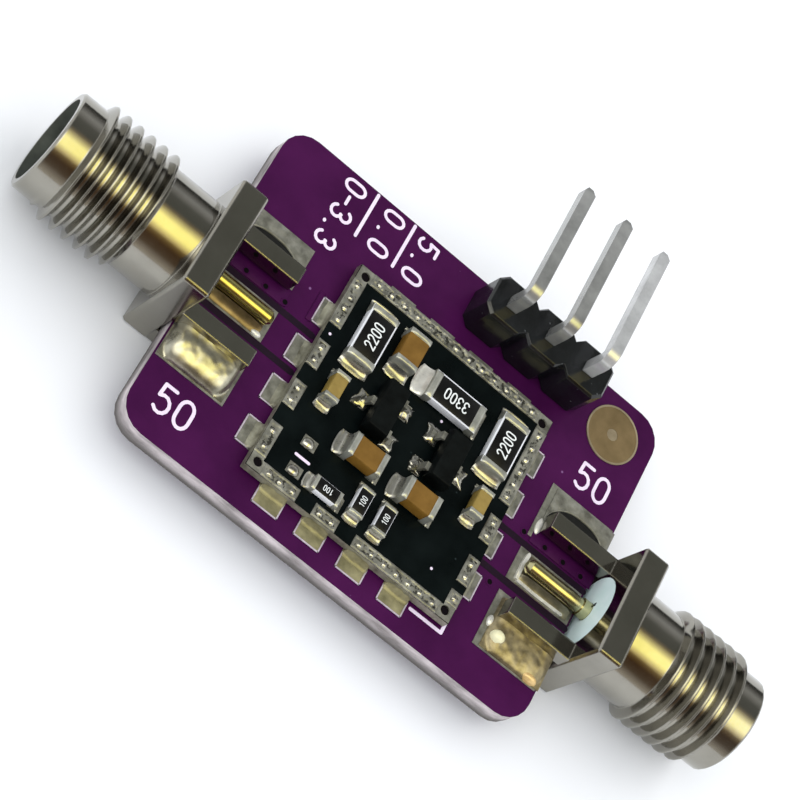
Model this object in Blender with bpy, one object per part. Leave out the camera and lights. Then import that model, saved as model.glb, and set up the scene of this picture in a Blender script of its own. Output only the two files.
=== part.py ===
"""RF attenuator module.

A purple carrier board with a threaded coaxial jack soldered over each end, a
three-pin right-angle header at its rear edge and a black attenuator board
soldered flat on top of it, with its resistors, capacitors and diodes.

Lengths are metres and +Z is up. Every piece hangs from an empty at the middle of
the carrier board's top face. The module stands on the undersides of its two jack
flanges, and the world origin lies under the middle of its outline.
"""

import math

import bmesh
import bpy
from mathutils import Vector

# Fits shared by all pieces
SEAT = 0.00003
OVERRUN = 0.0002

# Carrier board
JACK_MARGIN = 0.00195
FRONT_MARGIN = 0.00179
HEADER_MARGIN = 0.00141
HEADER_EDGE = 0.0004
BOARD_THICKNESS = 0.0012
BOARD_CORNER_RADIUS = 0.0015
LAND_THICKNESS = 0.00004
LAND_PULLBACK = 0.0001

# Round test land near the rear right corner
TEST_LAND_DIAMETER = 0.00305
TEST_HOLE_DIAMETER = 0.00065
TEST_LAND_END_INSET = 0.00245
TEST_LAND_REAR_INSET = 0.00218

# Attenuator board
MODULE_LENGTH = 0.0125
MODULE_DEPTH = 0.0126
MODULE_THICKNESS = 0.0005
MODULE_STANDOFF = 0.0001
MODULE_SHIFT = 0.0002
CORNER_HOLE_DIAMETER = 0.0005
CORNER_HOLE_INSET = 0.00048
EDGE_LAND_WIDTH = 0.00065

# Carrier lands that the attenuator board is soldered to
LAND_PITCH = 0.00254
LAND_ROW_COUNT = 4
LAND_WIDTH = 0.00155
LEFT_LAND_REACH = 0.00085
RIGHT_LAND_REACH = 0.00065
FRONT_LAND_REACH = 0.00094
REAR_LAND_REACH = 0.00056
LAND_UNDERLAP = 0.0006
LEFT_ROW_SHIFT = -0.00069
RIGHT_ROW_SHIFT = 0.00031
FRONT_ROW_SHIFT = -0.00038

# Solder joints round the attenuator board
EDGE_BEAD_HEIGHT = 0.00036
EDGE_BEAD_REACH = 0.00024
EDGE_BEAD_LENGTH = 0.0014

# Jack shell
JACK_AXIS_HEIGHT = 0.0006
FLANGE_SIDE = 0.0063
FLANGE_THICKNESS = 0.0015
FLANGE_BEVEL = 0.00012
BARREL_LENGTH = 0.00235
THREAD_WALL = 0.0004
THREAD_DEPTH = 0.00046
THREAD_PITCH = 0.0007056
THREAD_LENGTH = 0.0045
THREAD_RUNOUT = 0.0004
COLLAR_LENGTH = 0.00115
COLLAR_CHAMFER = 0.0001
MOUTH_STEP = 0.00025
MOUTH_DEPTH = 0.0019
LEG_LENGTH = 0.0039
LEG_WIDTH = 0.00095
LEG_HEIGHT = 0.0010
LEG_INSET = 0.00006
LEG_GAP = 0.0002
RIGHT_JACK_GAP = 0.00025

# Jack insulator and centre contact
INSULATOR_DIAMETER = 0.0041
SOCKET_DIAMETER = 0.00127
SOCKET_HOLE_DIAMETER = 0.00094
SOCKET_HOLE_DEPTH = 0.0027
SOCKET_SLOT_WIDTH = 0.0002
SOCKET_SLOT_LENGTH = 0.0018
NECK_DIAMETER = 0.0010
NECK_SEAT_DEPTH = 0.0004
NECK_LENGTH = 0.00045
TAIL_DIAMETER = 0.0008
TAIL_LENGTH = 0.0039

# Jack lands and solder
LAND_LENGTH_MARGIN = 0.0002
LAND_INNER_MARGIN = 0.00045
LAND_OUTER_MARGIN = 0.00185
CONTACT_LAND_MARGIN = 0.00055
SOLDER_MARGIN = 0.0001
SOLDER_TOE = 0.00015
HEAPED_FILLET = 0.00088
MIDDLE_FILLET = 0.00045
THIN_FILLET = 0.00022
UNDER_FILLET = 0.0005

# Pin header
PIN_PITCH = 0.00254
PIN_COUNT = 3
PIN_SIDE = 0.00064
PIN_HOLE_DIAMETER = 0.0010
PIN_LAND_DIAMETER = 0.0017
HEADER_X = 0.00365
HOUSING_DEPTH = 0.0025
HOUSING_HEIGHT = 0.0023
HOUSING_CHAMFER = 0.00045
HOUSING_TOP_CHAMFER = 0.00012
PIN_BEND_HEIGHT = 0.00405
PIN_BEND_RADIUS = 0.0005
PIN_REACH = 0.0071
PIN_TAIL = 0.0010
PIN_TIP_LENGTH = 0.00035
TAIL_SOLDER_HEIGHT = 0.0006

# Chips: length, width, height, terminal length and edge chamfer
LARGE_RESISTOR_LENGTH = 0.0032
LARGE_RESISTOR_WIDTH = 0.0016
LARGE_RESISTOR_HEIGHT = 0.00055
LARGE_RESISTOR_TERMINAL = 0.0005
SMALL_RESISTOR_LENGTH = 0.0016
SMALL_RESISTOR_WIDTH = 0.0008
SMALL_RESISTOR_HEIGHT = 0.00045
SMALL_RESISTOR_TERMINAL = 0.0003
LARGE_CAPACITOR_LENGTH = 0.0020
LARGE_CAPACITOR_WIDTH = 0.00125
LARGE_CAPACITOR_HEIGHT = 0.00088
LARGE_CAPACITOR_TERMINAL = 0.0004
SMALL_CAPACITOR_LENGTH = 0.0016
SMALL_CAPACITOR_WIDTH = 0.0008
SMALL_CAPACITOR_HEIGHT = 0.0008
SMALL_CAPACITOR_TERMINAL = 0.0003
RESISTOR_CHAMFER = 0.00004
CAPACITOR_CHAMFER = 0.00007
TERMINAL_STEP = 0.00002
CHIP_LAND_REACH = 0.0003
CHIP_LAND_UNDERLAP = 0.00035

# Three-lead diodes
DIODE_LENGTH = 0.0029
DIODE_WIDTH = 0.0013
DIODE_HEIGHT = 0.0010
DIODE_STANDOFF = 0.00006
DIODE_DRAFT = 0.00009
DIODE_SPAN = 0.0024
DIODE_LEAD_PITCH = 0.0019
DIODE_LEAD_WIDTH = 0.00042
DIODE_LEAD_THICKNESS = 0.00012
DIODE_LEAD_DEPTH = 0.0002
DIODE_FOOT_LENGTH = 0.0003
DIODE_LAND_WIDTH = 0.0009

# Facets and shape shares, which stay as they are when sizes change
ROUND_SEGMENTS = 32
SMALL_SEGMENTS = 16
CORNER_STEPS = 5
BEND_STEPS = 5
CURVE_STEPS = 5
THREAD_POINT_SHARES = ((0.0, 0.0), (0.3125, 1.0), (0.4375, 1.0), (0.75, 0.0))
PIN_TIP_SHARE = 0.45
DIODE_PARTING_SHARE = 0.5
BEAD_LENGTH_SHARES = ((0.0, 0.35), (0.08, 0.8), (0.24, 1.0), (0.76, 1.0), (0.92, 0.8), (1.0, 0.35))

# Edge lands of the attenuator board, as shares of its half length or half depth
LEFT_LAND_SHARES = ((0.41, 1.0), (-0.005, 0.24), (-0.40, -0.163), (-1.0, -0.57))
RIGHT_LAND_SHARES = ((0.138, 1.0), (-0.25, -0.005), (-0.66, -0.41), (-1.0, -0.74))
FRONT_LAND_SHARES = ((-1.0, -0.53), (-0.376, -0.144), (0.016, 1.0))

# Places of the parts on the attenuator board, as shares of its half length and half depth
LARGE_RESISTOR_SHARES = ((-0.656, 0.495, True), (0.176, 0.519, False), (0.704, 0.495, True))
SMALL_RESISTOR_SHARES = ((-0.368, -0.79, False), (-0.088, -0.679, True), (0.136, -0.679, True))
LARGE_CAPACITOR_SHARES = ((-0.341, 0.606, True), (-0.248, -0.362, False), (0.288, -0.367, False))
SMALL_CAPACITOR_SHARES = ((-0.72, -0.068, True), (0.736, -0.06, True))
SPARE_LAND_SHARES = ((-0.65, -0.535), (-0.65, -0.79))
DIODE_SHARES = ((-0.296, 0.051, 1), (0.336, 0.051, -1))

# Sizes and places worked out from the sizes above
JACK_LAND_LENGTH = LEG_LENGTH + LAND_LENGTH_MARGIN
BOARD_LENGTH = MODULE_LENGTH + 2 * (JACK_MARGIN + JACK_LAND_LENGTH)
BOARD_DEPTH = FRONT_MARGIN + MODULE_DEPTH + HEADER_MARGIN + HOUSING_DEPTH + HEADER_EDGE
BOARD_END = BOARD_LENGTH / 2
BOARD_REAR = BOARD_DEPTH / 2
MODULE_X = MODULE_SHIFT
MODULE_Y = FRONT_MARGIN + MODULE_DEPTH / 2 - BOARD_REAR
HEADER_Y = BOARD_REAR - HEADER_EDGE - HOUSING_DEPTH / 2
PIN_TIP_Y = HEADER_Y + PIN_REACH
BOARD_X = (SEAT - RIGHT_JACK_GAP) / 2
BOARD_Y = (BOARD_REAR - PIN_TIP_Y) / 2
BOARD_TOP = FLANGE_SIDE / 2 - JACK_AXIS_HEIGHT
MODULE_UNDERSIDE = LAND_THICKNESS + MODULE_STANDOFF
MODULE_TOP = MODULE_UNDERSIDE + MODULE_THICKNESS
CHIP_SEAT = MODULE_TOP + LAND_THICKNESS + SEAT
LEFT_JACK_Y = MODULE_Y + LEFT_ROW_SHIFT + LAND_PITCH / 2
RIGHT_JACK_Y = MODULE_Y + RIGHT_ROW_SHIFT - LAND_PITCH / 2
JACK_LENGTH = FLANGE_THICKNESS + BARREL_LENGTH + THREAD_LENGTH + COLLAR_LENGTH
INSULATOR_FRONT = JACK_LENGTH - MOUTH_DEPTH
MOUTH_BORE_DIAMETER = INSULATOR_DIAMETER + 2 * MOUTH_STEP
BARREL_DIAMETER = MOUTH_BORE_DIAMETER + 2 * THREAD_WALL
LEG_OUTER = FLANGE_SIDE / 2 - LEG_INSET
LEG_INNER = LEG_OUTER - LEG_WIDTH
JACK_LAND_INNER = LEG_INNER - LAND_INNER_MARGIN
JACK_LAND_OUTER = LEG_OUTER + LAND_OUTER_MARGIN
CONTACT_LAND_WIDTH = TAIL_DIAMETER + 2 * CONTACT_LAND_MARGIN


def clear_scene():
    for item in list(bpy.data.objects):
        bpy.data.objects.remove(item, do_unlink=True)


def material(name, colour, roughness, metallic):
    surface = bpy.data.materials.new(name)
    surface.use_nodes = True
    shader = surface.node_tree.nodes["Principled BSDF"]
    shader.inputs["Base Color"].default_value = (*colour, 1.0)
    shader.inputs["Roughness"].default_value = roughness
    shader.inputs["Metallic"].default_value = metallic
    return surface


def empty(name, location, parent=None, turn=0.0):
    holder = bpy.data.objects.new(name, None)
    holder.location = location
    holder.rotation_euler = (0.0, 0.0, turn)
    holder.parent = parent
    bpy.context.collection.objects.link(holder)
    return holder


def finish(name, shape, surface, parent, location=(0.0, 0.0, 0.0), smooth_degrees=None):
    """Turn a bmesh into a named object with its normals pointing out."""
    bmesh.ops.recalc_face_normals(shape, faces=shape.faces)
    mesh = bpy.data.meshes.new(name)
    shape.to_mesh(mesh)
    shape.free()
    if smooth_degrees:
        mesh.shade_smooth()
        mesh.set_sharp_from_angle(angle=math.radians(smooth_degrees))
    item = bpy.data.objects.new(name, mesh)
    if surface:
        mesh.materials.append(surface)
    item.location = location
    item.parent = parent
    bpy.context.collection.objects.link(item)
    return item


def as_tool(item):
    """Mark an object as a guide that only shapes other objects."""
    item.hide_render = True
    item.display_type = "WIRE"
    return item


def combine(item, tool, operation):
    step = item.modifiers.new(operation.lower(), "BOOLEAN")
    step.operation = operation
    step.use_self = True
    step.object = as_tool(tool)


def loft(shape, rings):
    """Bridge closed rings of equal length and cap both ends."""
    rows = [[shape.verts.new(point) for point in ring] for ring in rings]
    count = len(rows[0])
    for lower, upper in zip(rows, rows[1:]):
        for index in range(count):
            following = (index + 1) % count
            shape.faces.new((lower[index], lower[following], upper[following], upper[index]))
    shape.faces.new(list(reversed(rows[0])))
    shape.faces.new(rows[-1])


def add_box(shape, low, high):
    lower = [(low[0], low[1]), (high[0], low[1]), (high[0], high[1]), (low[0], high[1])]
    loft(shape, [[(x, y, z) for x, y in lower] for z in (low[2], high[2])])


def add_prism(shape, outline, bottom, top):
    loft(shape, [[(x, y, z) for x, y in outline] for z in (bottom, top)])


def circle(radius, segments, centre=(0.0, 0.0)):
    turns = [math.tau * index / segments for index in range(segments)]
    return [(centre[0] + radius * math.cos(a), centre[1] + radius * math.sin(a)) for a in turns]


def rounded_rectangle(half_x, half_y, radius):
    points = []
    for quarter, (sign_x, sign_y) in enumerate(((1, 1), (-1, 1), (-1, -1), (1, -1))):
        for step in range(CORNER_STEPS + 1):
            angle = math.radians(90 * (quarter + step / CORNER_STEPS))
            x = sign_x * (half_x - radius) + radius * math.cos(angle)
            y = sign_y * (half_y - radius) + radius * math.sin(angle)
            points.append((x, y))
    return points


def turned(shape, profile, segments, closed=False):
    """Revolve (position, radius) points round the X axis, with poles where the radius is zero."""
    rows = []
    for position, radius in profile:
        if radius == 0:
            rows.append([shape.verts.new((position, 0.0, 0.0))] * segments)
        else:
            rows.append([shape.verts.new((position, y, z)) for y, z in circle(radius, segments)])
    pairs = list(zip(rows, rows[1:]))
    if closed:
        pairs.append((rows[-1], rows[0]))
    for lower, upper in pairs:
        for index in range(segments):
            following = (index + 1) % segments
            corners = [lower[index], lower[following], upper[following], upper[index]]
            shape.faces.new(list(dict.fromkeys(corners)))


def swept_strip(shape, path, half_width, half_thickness, shares=None):
    """Sweep a rectangle along a path of (outward, up) points that lies in the YZ plane."""
    shares = shares or [1.0] * len(path)
    rings = []
    for index, point in enumerate(path):
        before = Vector(path[max(index - 1, 0)])
        after = Vector(path[min(index + 1, len(path) - 1)])
        here = Vector(point)
        along = (after - before).normalized()
        first = (here - before).normalized() if index > 0 else along
        normal = Vector((-along.y, along.x))
        reach = half_thickness * shares[index] / max(along.dot(first), 0.5)
        width = half_width * shares[index]
        outer, inner = here + normal * reach, here - normal * reach
        rings.append([(-width, *outer), (width, *outer), (width, *inner), (-width, *inner)])
    loft(shape, rings)


def fillet_curve(start, end, height, bulge_share):
    """Points from the top of a solder fillet at start down to its toe at end."""
    points = []
    for step in range(CURVE_STEPS):
        share = step / CURVE_STEPS
        hollow = (1 - share) ** 2
        heaped = math.sqrt(1 - share * share)
        level = height * ((1 - bulge_share) * hollow + bulge_share * heaped)
        points.append((start + (end - start) * share, level))
    points.append((end, 0.0))
    return points


# Carrier board


def land_rows():
    """Middle and half size of each carrier land under the attenuator board's edges."""
    places = []
    row = [(index - (LAND_ROW_COUNT - 1) / 2) * LAND_PITCH for index in range(LAND_ROW_COUNT)]
    left = MODULE_X - MODULE_LENGTH / 2
    right = MODULE_X + MODULE_LENGTH / 2
    front = MODULE_Y - MODULE_DEPTH / 2
    rear = MODULE_Y + MODULE_DEPTH / 2
    half_width = LAND_WIDTH / 2

    def across(edge, reach, outward):
        return edge + outward * (reach - LAND_UNDERLAP) / 2, (reach + LAND_UNDERLAP) / 2

    left_x, left_span = across(left, LEFT_LAND_REACH, -1)
    right_x, right_span = across(right, RIGHT_LAND_REACH, 1)
    front_y, front_span = across(front, FRONT_LAND_REACH, -1)
    rear_y, rear_span = across(rear, REAR_LAND_REACH, 1)
    for step in row:
        places.append((left_x, MODULE_Y + LEFT_ROW_SHIFT + step, left_span, half_width))
        places.append((right_x, MODULE_Y + RIGHT_ROW_SHIFT + step, right_span, half_width))
        places.append((MODULE_X + FRONT_ROW_SHIFT + step, front_y, half_width, front_span))
        places.append((MODULE_X - FRONT_ROW_SHIFT + step, rear_y, half_width, rear_span))
    return places


def pin_places():
    return [HEADER_X + (index - (PIN_COUNT - 1) / 2) * PIN_PITCH for index in range(PIN_COUNT)]


def carrier_lands():
    """Raised copper lands on both faces, all in one tool that is joined to the board."""
    shape = bmesh.new()
    top = (-OVERRUN, LAND_THICKNESS)
    bottom = (-BOARD_THICKNESS - LAND_THICKNESS, -BOARD_THICKNESS + OVERRUN)
    for x, y, half_x, half_y in land_rows():
        add_box(shape, (x - half_x, y - half_y, top[0]), (x + half_x, y + half_y, top[1]))
    for side, axis in ((-1, LEFT_JACK_Y), (1, RIGHT_JACK_Y)):
        ends = sorted((side * (BOARD_END - JACK_LAND_LENGTH), side * (BOARD_END - LAND_PULLBACK)))
        half = CONTACT_LAND_WIDTH / 2
        add_box(shape, (ends[0], axis - half, top[0]), (ends[1], axis + half, top[1]))
        for sign in (-1, 1):
            rows = sorted((axis + sign * JACK_LAND_INNER, axis + sign * JACK_LAND_OUTER))
            for low, high in (top, bottom):
                add_box(shape, (ends[0], rows[0], low), (ends[1], rows[1], high))
    for x in pin_places():
        ring = circle(PIN_LAND_DIAMETER / 2, SMALL_SEGMENTS, (x, HEADER_Y))
        add_prism(shape, ring, bottom[0], top[1])
    test_place = (BOARD_END - TEST_LAND_END_INSET, BOARD_REAR - TEST_LAND_REAR_INSET)
    test_ring = circle(TEST_LAND_DIAMETER / 2, ROUND_SEGMENTS, test_place)
    add_prism(shape, test_ring, top[0], top[1])
    return shape


def carrier_holes():
    shape = bmesh.new()
    test_place = (BOARD_END - TEST_LAND_END_INSET, BOARD_REAR - TEST_LAND_REAR_INSET)
    holes = [(test_place, TEST_HOLE_DIAMETER)]
    holes += [((x, HEADER_Y), PIN_HOLE_DIAMETER) for x in pin_places()]
    for place, diameter in holes:
        ring = circle(diameter / 2, SMALL_SEGMENTS, place)
        add_prism(shape, ring, -BOARD_THICKNESS - OVERRUN, OVERRUN)
    return shape


def build_carrier(origin, paint):
    shape = bmesh.new()
    outline = rounded_rectangle(BOARD_END, BOARD_REAR, BOARD_CORNER_RADIUS)
    add_prism(shape, outline, -BOARD_THICKNESS, 0.0)
    board = finish("carrier_board", shape, paint["purple"], origin)
    combine(board, finish("carrier_lands_tool", carrier_lands(), None, origin), "UNION")
    combine(board, finish("carrier_holes_tool", carrier_holes(), None, origin), "DIFFERENCE")


# Jacks


def threaded_core():
    """Barrel, thread and collar as one solid bar along +X, the thread a true helix.

    Each row of points follows the helix and is clamped to the thread's ends, where
    its height has run out to the root, so that the clamped points fall together.
    """
    shape = bmesh.new()
    root = BARREL_DIAMETER / 2
    begin = FLANGE_THICKNESS + BARREL_LENGTH
    end = begin + THREAD_LENGTH
    per_turn = len(THREAD_POINT_SHARES)
    turns = math.ceil(THREAD_LENGTH / THREAD_PITCH) + 1

    def point(angle_index, place, height_share):
        place = min(max(place, begin), end)
        fade = min((place - begin) / THREAD_RUNOUT, (end - place) / THREAD_RUNOUT, 1.0)
        radius = root + THREAD_DEPTH * height_share * max(fade, 0.0)
        angle = math.tau * angle_index / ROUND_SEGMENTS
        return shape.verts.new((place, radius * math.cos(angle), radius * math.sin(angle)))

    columns = []
    for index in range(ROUND_SEGMENTS):
        column = []
        for turn in range(turns + 1):
            for place_share, height_share in THREAD_POINT_SHARES:
                advance = turn - 1 + place_share + index / ROUND_SEGMENTS
                column.append(point(index, begin + THREAD_PITCH * advance, height_share))
        columns.append(column)
    for index in range(ROUND_SEGMENTS):
        here = columns[index]
        if index + 1 < ROUND_SEGMENTS:
            there = columns[index + 1]
        else:
            there = columns[0][per_turn:] + columns[0][-1:] * per_turn
        for lower in range(len(here) - 1):
            corners = (here[lower], there[lower], there[lower + 1], here[lower + 1])
            if len(set(corners)) == len(corners):
                shape.faces.new(corners)
    head = [(FLANGE_THICKNESS / 2, 0.0), (FLANGE_THICKNESS / 2, root), (begin, root)]
    tail = [
        (end, root),
        (end + COLLAR_LENGTH - COLLAR_CHAMFER, root),
        (end + COLLAR_LENGTH, root - COLLAR_CHAMFER),
        (end + COLLAR_LENGTH, 0.0),
    ]
    turned(shape, head, ROUND_SEGMENTS)
    turned(shape, tail, ROUND_SEGMENTS)
    bmesh.ops.remove_doubles(shape, verts=shape.verts, dist=SEAT / 10)
    return shape


def flange_block():
    shape = bmesh.new()
    half = FLANGE_SIDE / 2
    add_box(shape, (0.0, -half, -half), (FLANGE_THICKNESS, half, half))
    edges = list(shape.edges)
    bmesh.ops.bevel(shape, geom=edges, offset=FLANGE_BEVEL, segments=1, affect="EDGES")
    return shape


def leg_levels():
    """Bottom and top of the upper and the lower legs, from the jack's axis."""
    face = -JACK_AXIS_HEIGHT
    upper = (face + LEG_GAP, face + LEG_GAP + LEG_HEIGHT)
    return upper, (-LEG_OUTER, face - BOARD_THICKNESS - LEG_GAP)


def jack_legs():
    shape = bmesh.new()
    for low, high in leg_levels():
        for sign in (-1, 1):
            sides = sorted((sign * LEG_INNER, sign * LEG_OUTER))
            add_box(shape, (-LEG_LENGTH, sides[0], low), (FLANGE_THICKNESS / 2, sides[1], high))
    return shape


def jack_bore():
    shape = bmesh.new()
    narrow = INSULATOR_DIAMETER / 2 + SEAT
    wide = MOUTH_BORE_DIAMETER / 2
    profile = [
        (-OVERRUN, 0.0),
        (-OVERRUN, narrow),
        (INSULATOR_FRONT, narrow),
        (INSULATOR_FRONT, wide),
        (JACK_LENGTH + OVERRUN, wide),
        (JACK_LENGTH + OVERRUN, 0.0),
    ]
    turned(shape, profile, ROUND_SEGMENTS)
    return shape


def insulator():
    shape = bmesh.new()
    outer = INSULATOR_DIAMETER / 2
    neck_hole = NECK_DIAMETER / 2 + SEAT
    hole = SOCKET_DIAMETER / 2 + SEAT
    profile = [
        (0.0, outer),
        (INSULATOR_FRONT, outer),
        (INSULATOR_FRONT, hole),
        (NECK_SEAT_DEPTH, hole),
        (NECK_SEAT_DEPTH, neck_hole),
        (0.0, neck_hole),
    ]
    turned(shape, profile, ROUND_SEGMENTS, closed=True)
    return shape


def contact():
    """Socket, neck and board tail turned as one pin along the axis."""
    shape = bmesh.new()
    tail = TAIL_DIAMETER / 2
    neck = NECK_DIAMETER / 2
    socket = SOCKET_DIAMETER / 2
    hole = SOCKET_HOLE_DIAMETER / 2
    lead_in = (socket - hole) / 2
    shoulder = NECK_SEAT_DEPTH + SEAT
    profile = [
        (-TAIL_LENGTH, 0.0),
        (-TAIL_LENGTH, tail / 2),
        (-TAIL_LENGTH + tail / 2, tail),
        (-NECK_LENGTH, tail),
        (-NECK_LENGTH, neck),
        (shoulder, neck),
        (shoulder, socket),
        (INSULATOR_FRONT - lead_in, socket),
        (INSULATOR_FRONT, socket - lead_in / 2),
        (INSULATOR_FRONT, hole + lead_in / 2),
        (INSULATOR_FRONT - lead_in, hole),
        (INSULATOR_FRONT - SOCKET_HOLE_DEPTH, hole),
        (INSULATOR_FRONT - SOCKET_HOLE_DEPTH - hole / 2, 0.0),
    ]
    turned(shape, profile, ROUND_SEGMENTS)
    return shape


def contact_slots():
    """Two crossing saw cuts that leave the socket with four spring fingers."""
    shape = bmesh.new()
    half = SOCKET_SLOT_WIDTH / 2
    reach = SOCKET_DIAMETER / 2 + OVERRUN
    begin = INSULATOR_FRONT - SOCKET_SLOT_LENGTH
    end = INSULATOR_FRONT + OVERRUN
    outline = [
        (-half, -reach), (half, -reach), (half, -half), (reach, -half),
        (reach, half), (half, half), (half, reach), (-half, reach),
        (-half, half), (-reach, half), (-reach, -half), (-half, -half),
    ]
    loft(shape, [[(x, y, z) for y, z in outline] for x in (begin, end)])
    return shape


def lengthwise_bead(section, begin, end, place):
    """Loft a (side, up) section along X, its height easing off towards both ends."""
    shape = bmesh.new()
    rings = []
    for length_share, height_share in BEAD_LENGTH_SHARES:
        x = begin + (end - begin) * length_share
        rings.append([(x, *place(side, up * height_share)) for side, up in section])
    loft(shape, rings)
    return shape


def leg_solder(height, bulge_share, side, upper):
    """Solder under one leg and heaped against its outer side, down to the land's edge."""
    film = LEG_GAP - LAND_THICKNESS - 2 * SEAT
    wall = LEG_OUTER + SEAT
    section = [(LEG_INNER - SOLDER_TOE, 0.0), (LEG_INNER, film), (wall, film)]
    section += fillet_curve(wall, JACK_LAND_OUTER - SOLDER_MARGIN, max(height, film * 1.5), bulge_share)
    lift = LAND_THICKNESS + SEAT
    if upper:
        base, direction = -JACK_AXIS_HEIGHT + lift, 1
    else:
        base, direction = -JACK_AXIS_HEIGHT - BOARD_THICKNESS - lift, -1

    def place(outward, up):
        return side * outward, base + direction * up

    begin = -JACK_LAND_LENGTH + SOLDER_MARGIN
    return lengthwise_bead(section, begin, -LAND_PULLBACK - SOLDER_MARGIN, place)


def contact_solder():
    """Solder cradle under the contact's tail."""
    base = -JACK_AXIS_HEIGHT + LAND_THICKNESS + SEAT
    rise = -base
    radius = TAIL_DIAMETER / 2 + SEAT
    toe = CONTACT_LAND_WIDTH / 2 - SOLDER_MARGIN
    lip = math.radians(20)
    section = fillet_curve(radius * math.cos(lip), toe, rise - radius * math.sin(lip), 0.0)
    mirrored = [(-side, up) for side, up in reversed(section)]
    cradle = []
    for step in range(1, 2 * CURVE_STEPS):
        angle = -math.pi + lip + (math.pi - 2 * lip) * step / (2 * CURVE_STEPS)
        cradle.append((radius * math.cos(angle), rise + radius * math.sin(angle)))
    outline = mirrored + cradle + section

    def place(outward, up):
        return outward, base + up

    begin = -TAIL_LENGTH + SOLDER_MARGIN
    return lengthwise_bead(outline, begin, -NECK_LENGTH - SOLDER_MARGIN, place)


def build_jack(name, origin, side, axis_y, fillets, paint):
    """One jack with its solder, in a frame whose +X leaves the board along the jack's axis."""
    turn = 0.0 if side > 0 else math.pi
    gap = RIGHT_JACK_GAP if side > 0 else SEAT
    place = (side * (BOARD_END + gap), axis_y, JACK_AXIS_HEIGHT)
    frame = empty(name + "_frame", place, origin, turn)
    body = finish(name + "_body", threaded_core(), paint["nickel"], frame, smooth_degrees=35)
    combine(body, finish(name + "_flange_tool", flange_block(), None, frame), "UNION")
    combine(body, finish(name + "_legs_tool", jack_legs(), None, frame), "UNION")
    combine(body, finish(name + "_bore_tool", jack_bore(), None, frame), "DIFFERENCE")
    finish(name + "_insulator", insulator(), paint["ptfe"], frame, smooth_degrees=35)
    pin = finish(name + "_contact", contact(), paint["gold"], frame, smooth_degrees=35)
    combine(pin, finish(name + "_slots_tool", contact_slots(), None, frame), "DIFFERENCE")
    finish(name + "_contact_solder", contact_solder(), paint["solder"], frame, smooth_degrees=40)
    for key, (row, upper) in {"rear": (1, True), "front": (-1, True)}.items():
        height, bulge_share = fillets[key]
        shape = leg_solder(height, bulge_share, row * side, upper)
        finish(f"{name}_{key}_leg_solder", shape, paint["solder"], frame, smooth_degrees=40)
    for key, row in (("rear", 1), ("front", -1)):
        shape = leg_solder(UNDER_FILLET, 0.0, row * side, False)
        finish(f"{name}_{key}_under_solder", shape, paint["solder"], frame, smooth_degrees=40)


# Pin header


def housing_outline():
    """Row of square cells with clipped corners, seen from above."""
    half_depth = HOUSING_DEPTH / 2
    half_pitch = PIN_PITCH / 2
    clip = HOUSING_CHAMFER
    front = []
    for x in pin_places():
        front.append((x - half_pitch, -half_depth + clip))
        front.append((x - half_pitch + clip, -half_depth))
        front.append((x + half_pitch - clip, -half_depth))
    front.append((pin_places()[-1] + half_pitch, -half_depth + clip))
    rear = [(x, -y) for x, y in reversed(front)]
    return [(x, HEADER_Y + y) for x, y in front + rear]


def housing_shape():
    shape = bmesh.new()
    outline = housing_outline()
    middle = HEADER_X
    low = LAND_THICKNESS + SEAT
    high = low + HOUSING_HEIGHT
    x_share = 1 - HOUSING_TOP_CHAMFER / (PIN_COUNT * PIN_PITCH / 2)
    y_share = 1 - HOUSING_TOP_CHAMFER / (HOUSING_DEPTH / 2)
    inner = [
        (middle + (x - middle) * x_share, HEADER_Y + (y - HEADER_Y) * y_share) for x, y in outline
    ]
    levels = [(outline, low), (outline, high - HOUSING_TOP_CHAMFER), (inner, high)]
    loft(shape, [[(x, y, z) for x, y in ring] for ring, z in levels])
    return shape


def housing_holes():
    shape = bmesh.new()
    half = PIN_SIDE / 2 + SEAT
    for x in pin_places():
        low = (x - half, HEADER_Y - half, -OVERRUN)
        high = (x + half, HEADER_Y + half, HOUSING_HEIGHT + LAND_THICKNESS + OVERRUN)
        add_box(shape, low, high)
    return shape


def pin_shape():
    """Square pin, straight up through the board and housing and bent over the rear edge."""
    shape = bmesh.new()
    bottom = -BOARD_THICKNESS - PIN_TAIL
    path = [(0.0, bottom), (0.0, bottom + PIN_TIP_LENGTH)]
    for step in range(BEND_STEPS + 1):
        angle = math.radians(90) * step / BEND_STEPS
        outward = PIN_BEND_RADIUS * (1 - math.cos(angle))
        up = PIN_BEND_HEIGHT - PIN_BEND_RADIUS * (1 - math.sin(angle))
        path.append((outward, up))
    path += [(PIN_REACH - PIN_TIP_LENGTH, PIN_BEND_HEIGHT), (PIN_REACH, PIN_BEND_HEIGHT)]
    shares = [PIN_TIP_SHARE] + [1.0] * (len(path) - 2) + [PIN_TIP_SHARE]
    swept_strip(shape, path, PIN_SIDE / 2, PIN_SIDE / 2, shares)
    return shape


def tail_solder():
    """Cone of solder round a pin's tail, turned about the X axis with +X pointing down."""
    shape = bmesh.new()
    hole = PIN_SIDE / math.sqrt(2) + SEAT
    land = PIN_LAND_DIAMETER / 2
    curve = fillet_curve(hole + SEAT, land, TAIL_SOLDER_HEIGHT, 0.0)
    profile = [(0.0, hole), (TAIL_SOLDER_HEIGHT, hole)]
    profile += [(down, outward) for outward, down in curve]
    turned(shape, profile, SMALL_SEGMENTS, closed=True)
    return shape


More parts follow.
